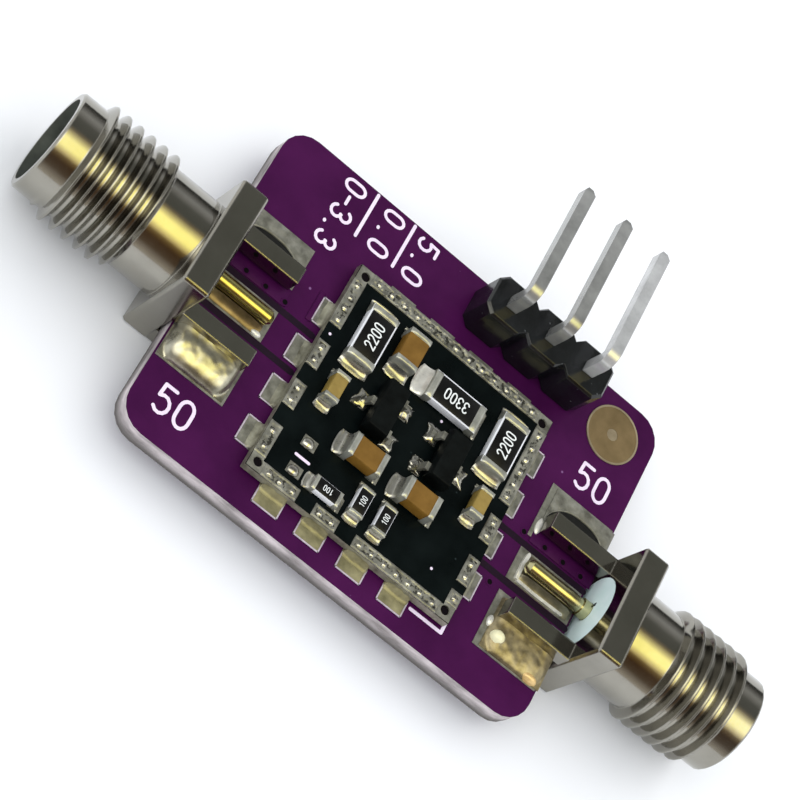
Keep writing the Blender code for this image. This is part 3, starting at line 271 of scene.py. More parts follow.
def add_materials():
    """Materials by key: name, dark and light tone, roughness, tones' variation, and grain."""
    return {
        "mask": simple("purple_mask", (0.047, 0.0034, 0.045), (0.058, 0.0048, 0.054), 0.36, 0.12,
            260, bump=0.004, bump_scale=2200, specular=0.07,
            speck=((0.22, 0.1, 0.24), 700, 0.035)),
        "mask_gap": simple("purple_mask_gap", (0.01, 0.0016, 0.012), None, 0.5, 0.2, 800,
            specular=0.2),
        # The board's side is painted darker towards its underside: painted shade for the shadow
        # under the board
        "core": simple("board_edge", (0.24, 0.21, 0.205), (0.58, 0.52, 0.53), 0.75, 0.3, 420,
            bump=0.03, bump_scale=4500, stretch=(1, 1, 3),
            painted_shade=((0.1, 0.09, 0.085), BOARD_TOP - 1.05 * MM, BOARD_TOP - 0.35 * MM)),
        "black_mask": simple("black_mask", (0.0014, 0.0032, 0.0032), (0.0028, 0.005, 0.005), 0.3,
            0.3, 500, bump=0.003, specular=0.08, speck=((0.02, 0.03, 0.03), 900, 0.03)),
        "tin": simple("tinned_land", (0.16, 0.155, 0.12), (0.3, 0.295, 0.25), 0.36, 0.2, 1500,
            metal=0.5, bump=0.012, bump_scale=3500, rough_vary=0.14),
        "edge_tin": simple("plated_edge", (0.19, 0.18, 0.125), (0.34, 0.33, 0.25), 0.36, 0.3, 1400,
            metal=0.4, bump=0.02, rough_vary=0.14),
        "flux": simple("dark_flux", (0.035, 0.034, 0.026), (0.06, 0.058, 0.045), 0.3, 0.3, 2500,
            metal=0.4, bump=0.006, bump_scale=5000),
        "bright_solder": simple("bright_solder", (0.36, 0.35, 0.31), (0.5, 0.49, 0.44), 0.2, 0.2,
            700, metal=0.95, bump=0.004, bump_scale=2200, rough_vary=0.08),
        "heap_solder": simple("heaped_solder", (0.34, 0.325, 0.25), (0.52, 0.5, 0.4), 0.3, 0.25,
            800, metal=0.9, bump=0.008, bump_scale=1800),
        # Painted highlight: cream solder standing in for the glint on a bead
        "painted_highlight_solder": simple("painted_highlight_solder", (0.92, 0.85, 0.5), (0.98, 0.93, 0.64), 0.4, 0.06,
            1500, metal=0.1, bump=0.004),
        "orange_solder": simple("orange_solder", (0.72, 0.46, 0.16), (0.86, 0.62, 0.28), 0.34, 0.15,
            1500, metal=0.3, bump=0.01, bump_scale=2200),
        "brown_solder": simple("brown_solder", (0.22, 0.18, 0.1), (0.36, 0.305, 0.19), 0.42, 0.3,
            1300, metal=0.8, bump=0.014, bump_scale=2200, rough_vary=0.12),
        # Painted highlight: pale solder standing in for white glints on drops, lips and long
        # fillets
        "pale_solder": simple("pale_solder", (0.7, 0.68, 0.6), (0.88, 0.86, 0.78), 0.3, 0.12,
            1500, metal=0.35, bump=0.004),
        # Painted highlight: pale lavender along the lands' outer edges
        "rim": simple("painted_highlight_land_rim", (0.42, 0.36, 0.4), (0.55, 0.47, 0.52), 0.4, 0.15, 2500,
            bump=0.003, bump_scale=7500),
        "solder": simple("solder", (0.38, 0.37, 0.32), (0.5, 0.49, 0.44), 0.28, 0.14, 900,
            metal=0.85, bump=0.008, bump_scale=1800, rough_vary=0.08),
        "nickel": simple("nickel", (0.31, 0.297, 0.257), (0.34, 0.325, 0.285), 0.13, 0.05, 400,
            metal=1.0, bump=0.0012, bump_scale=5000, rough_vary=0.04, soft=0.11),
        # Painted shade: dark, dull wall inside the jacks' open ends
        "bore": simple("jack_bore_painted_shade", (0.06, 0.064, 0.052), (0.085, 0.09, 0.075), 0.5, 0.2, 700,
            metal=0.3, bump=0.002),
        "gold": simple("gold_plate", (0.47, 0.42, 0.15), (0.53, 0.48, 0.19), 0.2, 0.07, 900,
            metal=1.0, bump=0.002, bump_scale=4000, rough_vary=0.05),
        "pale_gold": simple("pale_gold_plate", (0.5, 0.46, 0.25), (0.58, 0.54, 0.31), 0.22, 0.07,
            900, metal=1.0, bump=0.002, bump_scale=4000, rough_vary=0.05),
        "gold_land": simple("gold_land", (0.215, 0.148, 0.062), (0.27, 0.19, 0.09), 0.4, 0.12, 600,
            metal=0.5, bump=0.004),
        "gold_light": simple("pale_gold_land", (0.3, 0.235, 0.14), (0.38, 0.31, 0.2), 0.38, 0.12,
            900, metal=0.4, bump=0.003),
        "ptfe": simple("insulator", (0.78, 0.97, 0.95), (0.84, 0.98, 0.97), 0.45, 0.03, 700,
            bump=0.003),
        "pin": simple("header_pin_plate", (0.3, 0.3, 0.285), (0.4, 0.4, 0.38), 0.2, 0.1, 900,
            metal=0.55, bump=0.004, rough_vary=0.06, soft=0.05),
        "pale_pin": simple("pale_header_pin", (0.52, 0.52, 0.51), (0.62, 0.62, 0.61), 0.22, 0.1,
            900, metal=0.4, bump=0.004, rough_vary=0.06, soft=0.05),
        "housing": simple("black_plastic", (0.0035, 0.0042, 0.0046), (0.007, 0.008, 0.009), 0.2,
            0.3, 700, bump=0.04, bump_scale=1100, specular=0.6,
            speck=((0.06, 0.065, 0.065), 1500, 0.05), soft=0.05),
        "print": simple("white_print", (0.85, 0.72, 0.86), None, 0.6, 0.07, 1500, bump=0.004,
            bump_scale=4500),
        "ceramic": simple("white_ceramic", (0.8, 0.8, 0.82), None, 0.4, 0.05, 1500, bump=0.004,
            bump_scale=4500),
        "glaze": simple("black_glaze", (0.003, 0.003, 0.003), None, 0.3, 0.3, 1200, bump=0.004,
            bump_scale=2500, specular=0.3),
        "digit": simple("pale_digit", (0.82, 0.84, 0.8), None, 0.5, 0.05, 2500, bump=0.003,
            bump_scale=7500),
        "brown": simple("brown_ceramic", (0.165, 0.082, 0.011), (0.195, 0.101, 0.017), 0.46, 0.1,
            1200, bump=0.004, bump_scale=4000, specular=0.15, soft=0.05),
        "tan": simple("tan_ceramic", (0.25, 0.17, 0.04), (0.3, 0.21, 0.055), 0.46, 0.1, 1200,
            bump=0.004, bump_scale=4000, specular=0.15, soft=0.05),
        "cap": simple("chip_terminal", (0.34, 0.34, 0.29), (0.46, 0.46, 0.4), 0.3, 0.14, 1600,
            metal=0.55, bump=0.003, bump_scale=4000, rough_vary=0.08, soft=0.04),
        "dull_solder": simple("dull_solder", (0.17, 0.15, 0.1), (0.3, 0.27, 0.19), 0.4, 0.25,
            1100, metal=0.8, bump=0.008, bump_scale=2500),
        # Darker brown solder on the left jack's contact
        "brown_flux": simple("brown_flux", (0.13, 0.09, 0.038), (0.26, 0.19, 0.09), 0.4, 0.25, 1100,
            metal=0.75, bump=0.008, bump_scale=2500),
        "olive_tin": simple("olive_land", (0.21, 0.19, 0.095), (0.32, 0.29, 0.16), 0.42, 0.2, 1300,
            metal=0.35, bump=0.012, rough_vary=0.12),
        "moulding": simple("diode_plastic", (0.0014, 0.0022, 0.0022), (0.0028, 0.004, 0.004), 0.45,
            0.3, 1500, bump=0.005, bump_scale=7000, specular=0.1, soft=0.05),
        # Painted shade: near-black lens standing in for the shadowed gap beside a jack leg
        "hollow": simple("dark_hollow", (0.011, 0.011, 0.01), None, 0.5, 0.3, 2000, bump=0.006,
            bump_scale=4000, specular=0.12),
        # Painted shade: near-black discs and patches put where holes and nicks lie in shadow
        "hole": simple("painted_shade_hole", (0.003, 0.0016, 0.003), None, 0.8, 0.2, 2000, specular=0.1),
    }


# ---------------- mesh helpers

# Least height of a mound, points on a stroke's round end, steps of an arc, and the rise from one
# stroke of a number to the next, so that no two tops share a plane
LEAST_RISE = 0.002
END_POINTS = 5
ARC_STEPS = 9
STROKE_STEP = 0.0007

# Feet of the pieces that stand on the lands of the two boards
FOOT = LAND_RISE * 0.5
MODULE_FOOT = MODULE_TOP + LAND_RISE * 0.5


def board_box(name):
    """Lowest and highest corner of a solid, in board millimetres."""
    low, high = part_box(name)
    return TO_BOARD @ low, TO_BOARD @ high


def piece(name, shape, paints, sharp=35.0, matrix=None):
    """Turns a bmesh drawn in board millimetres into an object that rides on the part.

    Paints are the keys of its materials, parted by spaces. Edges over the sharp angle stay crisp.
    """
    bmesh.ops.recalc_face_normals(shape, faces=shape.faces)
    for face in shape.faces:
        face.smooth = True
    limit = math.radians(sharp)
    for edge in shape.edges:
        if len(edge.link_faces) == 2 and edge.calc_face_angle(0.0) > limit:
            edge.smooth = False
    shape.transform(TO_WORLD @ (matrix or Matrix.Identity(4)))
    mesh = bpy.data.meshes.new(name)
    shape.to_mesh(mesh)
    shape.free()
    made = new_object(name, mesh)
    for paint in paints.split():
        mesh.materials.append(PAINT[paint])
    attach(made, ROOT)
    return made


def add_block(shape, low, high, bevel, segments=2, paint=0):
    """Box with rounded edges, added to the shape."""
    block = bmesh.new()
    bmesh.ops.create_cube(block, size=1.0)
    middle = [(a + b) / 2 for a, b in zip(low, high)]
    size = [b - a for a, b in zip(low, high)]
    for vertex in block.verts:
        vertex.co = Vector([m + c * s for m, c, s in zip(middle, vertex.co, size)])
    bmesh.ops.bevel(block, geom=list(block.edges), offset=bevel, segments=segments, profile=0.5,
                    affect="EDGES", clamp_overlap=True)
    for face in block.faces:
        face.material_index = paint
    mesh = bpy.data.meshes.new("block")
    block.to_mesh(mesh)
    block.free()
    shape.from_mesh(mesh)
    bpy.data.meshes.remove(mesh)


def add_field(shape, across, along, place, height, base, paint=0):
    """Closed mound over a grid: place gives x and y, height gives z, and base is its flat foot."""
    top = []
    for i in range(across + 1):
        row = []
        for j in range(along + 1):
            u, v = i / across, j / along
            x, y = place(u, v)
            row.append(shape.verts.new((x, y, max(base + LEAST_RISE, height(u, v)))))
        top.append(row)
    pick = paint if callable(paint) else lambda u, v: paint
    for i in range(across):
        for j in range(along):
            face = shape.faces.new((top[i][j], top[i + 1][j], top[i + 1][j + 1], top[i][j + 1]))
            face.material_index = pick((i + 0.5) / across, (j + 0.5) / along)
    rim = [top[i][0] for i in range(across + 1)]
    rim += [top[across][j] for j in range(1, along + 1)]
    rim += [top[i][along] for i in range(across - 1, -1, -1)]
    rim += [top[0][j] for j in range(along - 1, 0, -1)]
    foot = [shape.verts.new((v.co.x, v.co.y, base)) for v in rim]
    faces = []
    for k in range(len(rim)):
        n = (k + 1) % len(rim)
        faces.append(shape.faces.new((rim[k], foot[k], foot[n], rim[n])))
    faces.append(shape.faces.new(foot[::-1]))
    for face in faces:
        face.material_index = pick(0.5, 0.5)


def mound(name, paints, field, sharp=60, slot=None):
    """Piece made of one field, which stands in for a solid if no slot is given."""
    shape = bmesh.new()
    add_field(shape, *field)
    made = piece(name, shape, paints, sharp=sharp)
    if not slot:
        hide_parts(name.rpartition("_")[0])


def trim(name, shape, paints):
    """Piece of fine detail."""
    piece(name, shape, paints, sharp=50)


def add_stroke(shape, points, width, low, high, closed=False):
    """Flat line along points in the plane, with round ends unless it closes on itself."""
    points = [Vector(p) for p in points]
    half = width / 2
    count = len(points)
    left, right = [], []
    for i, point in enumerate(points):
        before = points[i - 1] if i or closed else point
        after = points[(i + 1) % count] if i < count - 1 or closed else point
        along = (after - before).normalized()
        normal = Vector((-along.y, along.x))
        left.append(point + normal * half)
        right.append(point - normal * half)
    if closed:
        rings = [[shape.verts.new((p.x, p.y, z)) for p in side]
                 for side, z in ((left, low), (left, high), (right, high), (right, low))]
        for first, second in zip(rings, rings[1:] + rings[:1]):
            for k in range(count):
                n = (k + 1) % count
                shape.faces.new((first[k], first[n], second[n], second[k]))
        return

    def cap(middle, start):
        turn = start - middle
        return [middle + Matrix.Rotation(-math.pi * k / (END_POINTS + 1), 2) @ turn
                for k in range(1, END_POINTS + 1)]

    outline = [*left, *cap(points[-1], left[-1]), *reversed(right), *cap(points[0], right[0])]
    tops = [shape.verts.new((p.x, p.y, high)) for p in outline]
    feet = [shape.verts.new((p.x, p.y, low)) for p in outline]
    total = len(outline)
    for k in range(total):
        n = (k + 1) % total
        shape.faces.new((tops[k], feet[k], feet[n], tops[n]))
    right_start = count + END_POINTS
    for verts in (tops, feet):
        for i in range(count - 1):
            a, b = verts[i], verts[i + 1]
            c, d = verts[right_start + count - 2 - i], verts[right_start + count - 1 - i]
            shape.faces.new((a, b, c, d))
        shape.faces.new(verts[count - 1:right_start + 1])
        shape.faces.new([verts[k] for k in (*range(total - END_POINTS - 1, total), 0)])


def add_disc(shape, middle, inner, outer, low, high, sides):
    """Disc, or a ring if inner is more than nothing."""
    rings = []
    for radius, z in ((outer, low), (outer, high), (inner, high), (inner, low)):
        if radius <= 0:
            continue
        ring = []
        for k in range(sides):
            turn = 2 * math.pi * k / sides
            x, y = middle[0] + radius * math.cos(turn), middle[1] + radius * math.sin(turn)
            ring.append(shape.verts.new((x, y, z)))
        rings.append(ring)
    pairs = list(zip(rings, rings[1:]))
    if inner > 0:
        pairs.append((rings[-1], rings[0]))
    else:
        shape.faces.new(rings[0][::-1])
        shape.faces.new(rings[1])
    for first, second in pairs:
        for k in range(sides):
            n = (k + 1) % sides
            shape.faces.new((first[k], first[n], second[n], second[k]))


def arc(x, y, rx, ry, start, end):
    turns = [math.radians(start + (end - start) * k / ARC_STEPS) for k in range(ARC_STEPS + 1)]
    return [(x + rx * math.cos(t), y + ry * math.sin(t)) for t in turns]


# Strokes of plain digits in a cell 0.6 wide and 1 high
DIGITS = {
    "0": [arc(0.3, 0.68, 0.26, 0.32, 0, 180) + arc(0.3, 0.32, 0.26, 0.32, 180, 360)],
    "1": [[(0.12, 0.78), (0.34, 1.0)], [(0.34, 1.0), (0.34, 0.0)]],
    "2": [arc(0.3, 0.72, 0.26, 0.28, 165, -30) + [(0.04, 0.0)], [(0.04, 0.0), (0.58, 0.0)]],
    "3": [arc(0.28, 0.75, 0.26, 0.25, 160, -80), arc(0.28, 0.27, 0.28, 0.27, 80, -160)],
    "5": [[(0.54, 1.0), (0.1, 1.0)], [(0.1, 1.0), (0.07, 0.56)],
          arc(0.28, 0.32, 0.28, 0.32, 128, -140)],
    "-": [[(0.1, 0.46), (0.5, 0.46)]],
    ".": [[(0.28, 0.03), (0.32, 0.03)]],
}


def add_number(shape, text, start, reading, height, pitch, width, low, high, squeeze=1.0):
    """Digits from start, reading along a unit direction, their tops to its left."""
    along = Vector(reading)
    up = Vector((-along.y, along.x))
    step = 0
    for count, sign in enumerate(text):
        corner = Vector(start) + along * (count * pitch)
        for stroke in DIGITS[sign]:
            path = [corner + along * (x * height * squeeze) + up * (y * height) for x, y in stroke]
            step += 1
            add_stroke(shape, path, width, low, high + STROKE_STEP * step, sign == "0")


def bumps(x, y, size, seed):
    return noise.noise(Vector((x / size, y / size, seed)))


def dome(share, flatness, power):
    """Arch over the shares from 0 to 1, and 1 in its middle."""
    return max(0.0, 1 - abs(share * 2 - 1) ** flatness) ** power


def smooth_step(value, low, high):
    share = min(1.0, max(0.0, (value - low) / (high - low)))
    return share * share * (3 - 2 * share)


# ---------------- carried-over solids

# Test land: its middle, and what its face keeps within
TEST_LAND = (9.85, 7.17)
TEST_LAND_REACH = 1.7

# Carrier board: reach of its corners, depth of its sides, its underside, its front lands' field
CORNER_REACH = 1.6
SIDE_DEPTH = 0.05
UNDERSIDE = -1.21
FRONT_HALF_WIDTH = 6.0
FRONT_START = -7.0

# Jacks: the bore's greatest radius, and the distance at which the open mouth begins
BORE_REACH = 2.45
MOUTH_START = 14.2

# Greatest turn in degrees between faces that light runs over smoothly
SOLDER_TURN = 60
METAL_TURN = 32


def paint_node(name, paints):
    mesh = NODES[name].data
    mesh.materials.clear()
    for paint in paints.split():
        mesh.materials.append(PAINT[paint])
    return mesh


def paint_carrier():
    mesh = paint_node("carrier_board", "mask core tin gold_land olive_tin")
    half_x = (BOARD_BOX[1].x - BOARD_BOX[0].x) / 2 / MM
    half_y = (BOARD_BOX[1].y - BOARD_BOX[0].y) / 2 / MM
    for face in mesh.polygons:
        middle = TO_BOARD @ face.center
        x, y = abs(middle.x), abs(middle.y)
        upright = abs(face.normal.z) < 0.5
        rim = x > half_x - CORNER_REACH and y > half_y - CORNER_REACH
        rim = rim or x > half_x - SIDE_DEPTH or y > half_y - SIDE_DEPTH
        if upright and middle.z < 0.0 and rim:
            face.material_index = 1
        elif not (upright or middle.z > 0.01 or middle.z < UNDERSIDE):
            face.material_index = 0
        elif math.hypot(middle.x - TEST_LAND[0], middle.y - TEST_LAND[1]) < TEST_LAND_REACH:
            face.material_index = 3
        elif middle.z > 0 and middle.y < FRONT_START and x < FRONT_HALF_WIDTH:
            face.material_index = 4
        else:
            face.material_index = 2


def paint_attenuator():
    mesh = paint_node("attenuator_board", "black_mask edge_tin tin")
    for face in mesh.polygons:
        middle = TO_BOARD @ face.center
        if abs(face.normal.z) < 0.5:
            face.material_index = 1 if middle.z < MODULE_TOP else 2
        else:
            face.material_index = 2 if middle.z > MODULE_TOP + 0.01 else 0


def round_off(name, degrees):
    """Lets light run smoothly over a solid's curved faces, and keeps its true edges crisp."""
    for face in NODES[name].data.polygons:
        face.use_smooth = True
    join = NODES[name].modifiers.new("join", "WELD")
    join.merge_threshold = 1e-7
    crisp = NODES[name].modifiers.new("crisp", "EDGE_SPLIT")
    crisp.split_angle = math.radians(degrees)
    crisp.use_edge_sharp = False


def paint_jack(name):
    """Nickel outside, and a darker, duller wall inside the open end: painted shade in the bore."""
    mesh = paint_node(name, "nickel bore")
    low, high = board_box(name)
    axis_y, axis_z = (low.y + high.y) / 2, (low.z + high.z) / 2
    for face in mesh.polygons:
        middle = TO_BOARD @ face.center
        y, z = middle.y - axis_y, middle.z - axis_z
        inside = math.hypot(y, z) < BORE_REACH and face.normal.y * y + face.normal.z * z < 0
        face.material_index = 1 if inside and abs(middle.x) > MOUTH_START else 0


def paint_solids():
    paint_carrier()
    paint_attenuator()
    for name in NODES:
        if name not in ("carrier_board", "attenuator_board", "header_housing"):
            round_off(name, SOLDER_TURN if "solder" in name else METAL_TURN)
        if name.endswith("jack_body"):
            paint_jack(name)
        elif name.endswith("insulator"):
            paint_node(name, "ptfe")
        elif name.endswith("jack_contact"):
            paint_node(name, "pale_gold" if name.startswith("right") else "gold")
        elif "contact_solder" in name:
            paint_node(name, "brown_flux" if name.startswith("left") else "dull_solder")
        elif "solder" in name:
            paint_node(name, "solder")
        elif name == "header_housing":
            paint_node(name, "housing")
        elif name.startswith("header_pin"):
            paint_node(name, "pale_pin" if name.endswith("3") else "pin")
        elif name.startswith("diode"):
            paint_node(name, "moulding" if name.endswith("body") else "tin")


# ---------------- chips

# Name, number, seed of the noise, and reach of the solder at both ends
RESISTORS = (
    ("large_resistor_1", "2200", 1.1, (0.45, 0.5)),
    ("large_resistor_2", "3300", 2.3, (0.75, 0.3)),
    ("large_resistor_3", "2200", 3.7, (0.45, 0.5)),
    ("small_resistor_1", "100", 4.9, (0.45, 0.22)),
    ("small_resistor_2", "100", 5.1, (0.22, 0.4)),
    ("small_resistor_3", "100", 6.3, (0.22, 0.4)),
)

# Name, body's paint, seed, and the solder's reach and share of the chip's height at both ends
CAPACITORS = (
    ("large_capacitor_1", "brown", 7.7, (0.25, 0.62), (0.5, 0.5)),
    ("large_capacitor_2", "brown", 8.5, (0.6, 0.2), (0.85, 0.4)),
    ("large_capacitor_3", "brown", 9.9, (0.6, 0.2), (0.7, 0.4)),
    ("small_capacitor_1", "tan", 10.4, (0.2, 0.45), (0.4, 0.5)),
    ("small_capacitor_2", "tan", 11.6, (0.2, 0.45), (0.4, 0.5)),
)

# Solder at a chip's end: foot, thickness, fall, and the reach from which a resistor's is painted
# pale as a highlight
FILLET_FOOT = -0.03
FILLET_FILM = 0.05
FILLET_FALL = 4.0
GLINT_REACH = 0.6


def chip_place(name):
    """Size along, across and up, and the matrix that puts a chip drawn along X in its place."""
    low, high = board_box(name)
    length, width, height = high - low
    middle = (low + high) / 2
    matrix = Matrix.Translation((middle.x, middle.y, low.z))
    if width > length:
        length, width = width, length
        matrix = matrix @ Matrix.Rotation(math.radians(-90), 4, "Z")
    return length, width, height, matrix


def add_fillet(shape, end, sign, width, height, reach, seed, paint, spread=0.04):
    """Solder that climbs a chip's end: steep at the metal, soon flat, with a raised outer rim."""
    half = width / 2

    def place(u, v):
        out = u * reach
        side = (v * 2 - 1) * (half + spread * math.sin(u * math.pi * 0.5))
        pull = 1.0 - 0.2 * abs(v * 2 - 1) ** 3
        return end + sign * out * pull, side

    def rise(u, v):
        aside = abs(v * 2 - 1)
        edge = 1.0 - aside ** 6 * 0.5
        last = math.exp(-FILLET_FALL)
        climb = (math.exp(-FILLET_FALL * u) - last) / (1 - last)
        rim = math.exp(-((u - 0.86) / 0.1) ** 2) + 0.7 * math.exp(-((aside - 0.86) / 0.12) ** 2)
        ends = smooth_step(1 - u, 0.0, 0.08) * smooth_step(u, 0.1, 0.35)
        rim *= ends * smooth_step(1 - aside, 0.0, 0.08)
        lump = 0.035 * bumps(u * 1.3, v * 1.7, 0.6, seed)
        lump *= math.sin(math.pi * min(1.0, u * 1.2))
        film = FILLET_FOOT + FILLET_FILM
        return film + (height - FILLET_FILM) * climb * edge + 0.035 * rim + lump

    add_field(shape, 16, 18, place, rise, FILLET_FOOT, paint)


def add_chip_ends(shape, half, terminal, width, height, seed):
    """Metal ends of a chip: the top of each swells up between its two edges."""
    swell = width * 0.05
    for sign in (-1, 1):
        low, high = sorted((sign * half, sign * (half - terminal)))

        def place(u, v):
            return low + (high - low) * u, -width / 2 + width * v

        def rise(u, v):
            across, along = dome(u, 2.4, 0.6), dome(v, 5, 0.6)
            lump = 0.012 * bumps(u, v * 2, 0.5, seed + sign) * along
            return height - swell * 0.6 + swell * 1.6 * across * along + lump

        add_field(shape, 12, 18, place, rise, 0.0, 1)


def make_resistor(name, text, seed, reaches):
    length, width, height, matrix = chip_place(name)
    half, side = length / 2, width / 2
    terminal = length * 0.135
    shape = bmesh.new()
    add_block(shape, (-half + 0.03, -side + 0.015, 0.01),
              (half - 0.03, side - 0.015, height - 0.045), 0.03)
    add_chip_ends(shape, half, terminal, width, height - 0.03, seed)
    inner, border = half - terminal + 0.02, width * 0.065
    add_block(shape, (-inner, -side + border, height - 0.06),
              (inner, side - border, height), 0.025, paint=2)
    # Long fillets are painted pale: painted highlight
    for sign, reach in zip((-1, 1), reaches):
        add_fillet(shape, sign * (half - 0.02), sign, width, height * 0.8, reach, seed + sign,
                   4 if reach > GLINT_REACH else 3)
    made = piece(name + "_chip", shape, "ceramic cap glaze solder pale_solder", matrix=matrix)
    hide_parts(name)
    digits = bmesh.new()
    tall = width * 0.36
    pitch = tall * 0.66
    run = pitch * (len(text) - 1) + tall * 0.42
    add_number(digits, text, (run / 2, tall / 2), (-1.0, 0.0), tall, pitch, tall * 0.13,
               height - 0.01, height + 0.003, 0.8)
    piece(name + "_number", digits, "digit", matrix=matrix)


def make_capacitor(name, body, seed, reaches, heights):
    length, width, height, matrix = chip_place(name)
    half, side = length / 2, width / 2
    shape = bmesh.new()
    add_block(shape, (-half + 0.05, -side + 0.03, 0.03),
              (half - 0.05, side - 0.03, height - 0.03), 0.07, 3)
    add_chip_ends(shape, half, length * 0.16, width, height - 0.02, seed)
    for sign, reach, climb in zip((-1, 1), reaches, heights):
        add_fillet(shape, sign * (half - 0.03), sign, width, height * climb, reach, seed + sign,
                   2, 0.05)
    made = piece(name + "_chip", shape, body + " cap solder", matrix=matrix)
    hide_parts(name)


def make_chips():
    for row in RESISTORS:
        make_resistor(*row)
    for row in CAPACITORS:
        make_capacitor(*row)


# ---------------- solder and lands

# Edge lands of the attenuator board, as shares of its half sides
LEFT_LANDS = ((0.41, 1.0), (-0.005, 0.24), (-0.4, -0.163), (-1.0, -0.57))
RIGHT_LANDS = ((0.138, 1.0), (-0.25, -0.005), (-0.66, -0.41), (-1.0, -0.74))
FRONT_LANDS = ((-1.0, -0.53), (-0.376, -0.144), (0.016, 1.0))

# Their depth and distance from the corners, their holes' inset, pitch and reach, and their grid
LAND_DEPTH = 0.7
LAND_CORNER = 0.85
HOLE_INSET = 0.34
HOLE_PITCH = 0.8
HOLE_REACH = 0.13
GRAIN_STEP = 0.045

# Solder up the attenuator board's side: its reach, its growth past a land, and its fall
WASH_REACH = 0.34
WASH_GROWTH = 0.06
WASH_FALL = 3.4

# Pale rims of the carrier's lands, a painted highlight along their outer edges: their reach by
# side, and that of the left one in the rear
RIM_REACH = {"left": 0.86, "right": 0.66, "front": 0.95}
SHORT_RIM_REACH = 0.58
SHORT_RIM_FROM = 0.8


def tinning_strips():
    """Name, sides, line of holes, swell and grain of each edge land, from the board's middle."""
    half_x = (MODULE_HIGH.x - MODULE_LOW.x) / 2
    half_y = (MODULE_HIGH.y - MODULE_LOW.y) / 2
    long_x, long_y = half_x - LAND_CORNER, half_y - LAND_CORNER
    row_x, row_y = half_x - HOLE_INSET, half_y - HOLE_INSET
    yield "rear", -long_x, long_x, half_y - LAND_DEPTH, half_y, row_y, 0.07, 0.12
    for label, lands, sign in (("left", LEFT_LANDS, -1), ("right", RIGHT_LANDS, 1)):
        x0, x1 = sorted((sign * half_x, sign * (half_x - LAND_DEPTH)))
        for number, (a, b) in enumerate(lands):
            yield (f"{label}_{number + 1}", x0, x1, max(a * half_y, -long_y),
                   min(b * half_y, long_y), sign * row_x, 0.035, 0.045)
    for number, (a, b) in enumerate(FRONT_LANDS):
        yield (f"front_{number + 1}", max(a * half_x, -long_x), min(b * half_x, long_x),
               -half_y, LAND_DEPTH - half_y, -row_y, 0.045, 0.06)


def make_tinning(name, x0, x1, y0, y1, line, lift, grit):
    """Uneven tin over one edge land, with a row of filled holes in it."""
    middle = (MODULE_LOW + MODULE_HIGH) / 2
    wide, deep = x1 - x0, y1 - y0
    length = max(wide, deep)
    count = max(1, round(length / HOLE_PITCH))
    holes = []
    for k in range(count):
        run = (x0 if wide > deep else y0) + length * (k + 0.5) / count
        run += 0.08 * bumps(run, 2.0, 0.7, 4.0)
        holes.append((run, line) if wide > deep else (line, run))

    def place(u, v):
        return middle.x + x0 + wide * u, middle.y + y0 + deep * v

    def from_edge(u, v):
        return min(u * wide, (1 - u) * wide, v * deep, (1 - v) * deep)

    def from_hole(u, v):
        x, y = x0 + wide * u, y0 + deep * v
        return min(math.hypot(x - hx, y - hy) for hx, hy in holes)

    def grain(u, v):
        x, y = place(u, v)
        return 0.9 * bumps(x, y, 0.26, 3.0) + 0.6 * bumps(x, y, 0.11, 7.0)

    def rise(u, v):
        edge = from_edge(u, v)
        lip = math.exp(-((edge - 0.07) / 0.045) ** 2) * 0.03
        plug = max(0.0, 1 - (from_hole(u, v) / 0.14) ** 2) ** 0.5 * 0.085
        swell = lip + lift * 0.4 + max(plug, grit * grain(u, v))
        return MODULE_TOP + LAND_RISE + 0.006 + smooth_step(edge, 0.0, 0.07) * swell

    def tone(u, v):
        if from_hole(u, v) < HOLE_REACH:
            return 2
        return 1 if grain(u, v) < -0.2 and from_edge(u, v) > 0.13 else 0

    across, along = max(8, int(wide / GRAIN_STEP)), max(8, int(deep / GRAIN_STEP))
    mound("edge_tinning_" + name, "tin flux bright_solder",
          (across, along, place, rise, MODULE_FOOT, tone), slot="solder")


def make_edge_wash():
    """Solder that runs from each carrier land up the attenuator board, and each land's rim, painted
    pale as a highlight.
    """
    rims = bmesh.new()
    for name in NODES:
        if not name.startswith("edge_solder"):
            continue
        low, high = board_box(name)
        side = name.split("_")[2]
        seed = 31.0 + low.x + low.y
        sideways = side in ("left", "right")
        across, along = (0, 1) if sideways else (1, 0)
        out = -1 if side in ("left", "front") else 1
        near = (high if out < 0 else low)[across] - out * 0.02
        run0, run1 = low[along] - WASH_GROWTH, high[along] + WASH_GROWTH
        height = high.z - LAND_RISE

        def place(u, v):
            away = near + out * WASH_REACH * v * (1 + 0.12 * bumps(u * 2, 0.0, 0.5, seed))
            run = run0 + (run1 - run0) * u
            return (away, run) if sideways else (run, away)

        def rise(u, v):
            ends = dome(u, 5, 0.5)
            lump = 1 + 0.3 * bumps(u * 3, v, 0.6, seed)
            climb = math.exp(-WASH_FALL * v) - math.exp(-WASH_FALL)
            return LAND_RISE + 0.012 + height * ends * climb * lump

        mound(name + "_wash", "olive_tin" if side == "front" else "edge_tin",
              (60 if side == "rear" else 22, 14, place, rise, FOOT))
        if side == "rear":
            continue
        short = side == "left" and low.y > SHORT_RIM_FROM
        tip = near + out * (SHORT_RIM_REACH if short else RIM_REACH[side])
        heel = near + out * 0.1
        a, b = run0 + 0.02, run1 - 0.02
        corners = [(heel, a), (tip, a), (tip, b), (heel, b)]
        if not sideways:
            corners = [(y, x) for x, y in corners]
        # Rims along each land's outer sides: painted highlight
        for start, end in zip(corners, corners[1:]):
            add_stroke(rims, [start, end], 0.07, FOOT, LAND_RISE + 0.018)
    trim("painted_highlight_land_rims", rims, "rim")


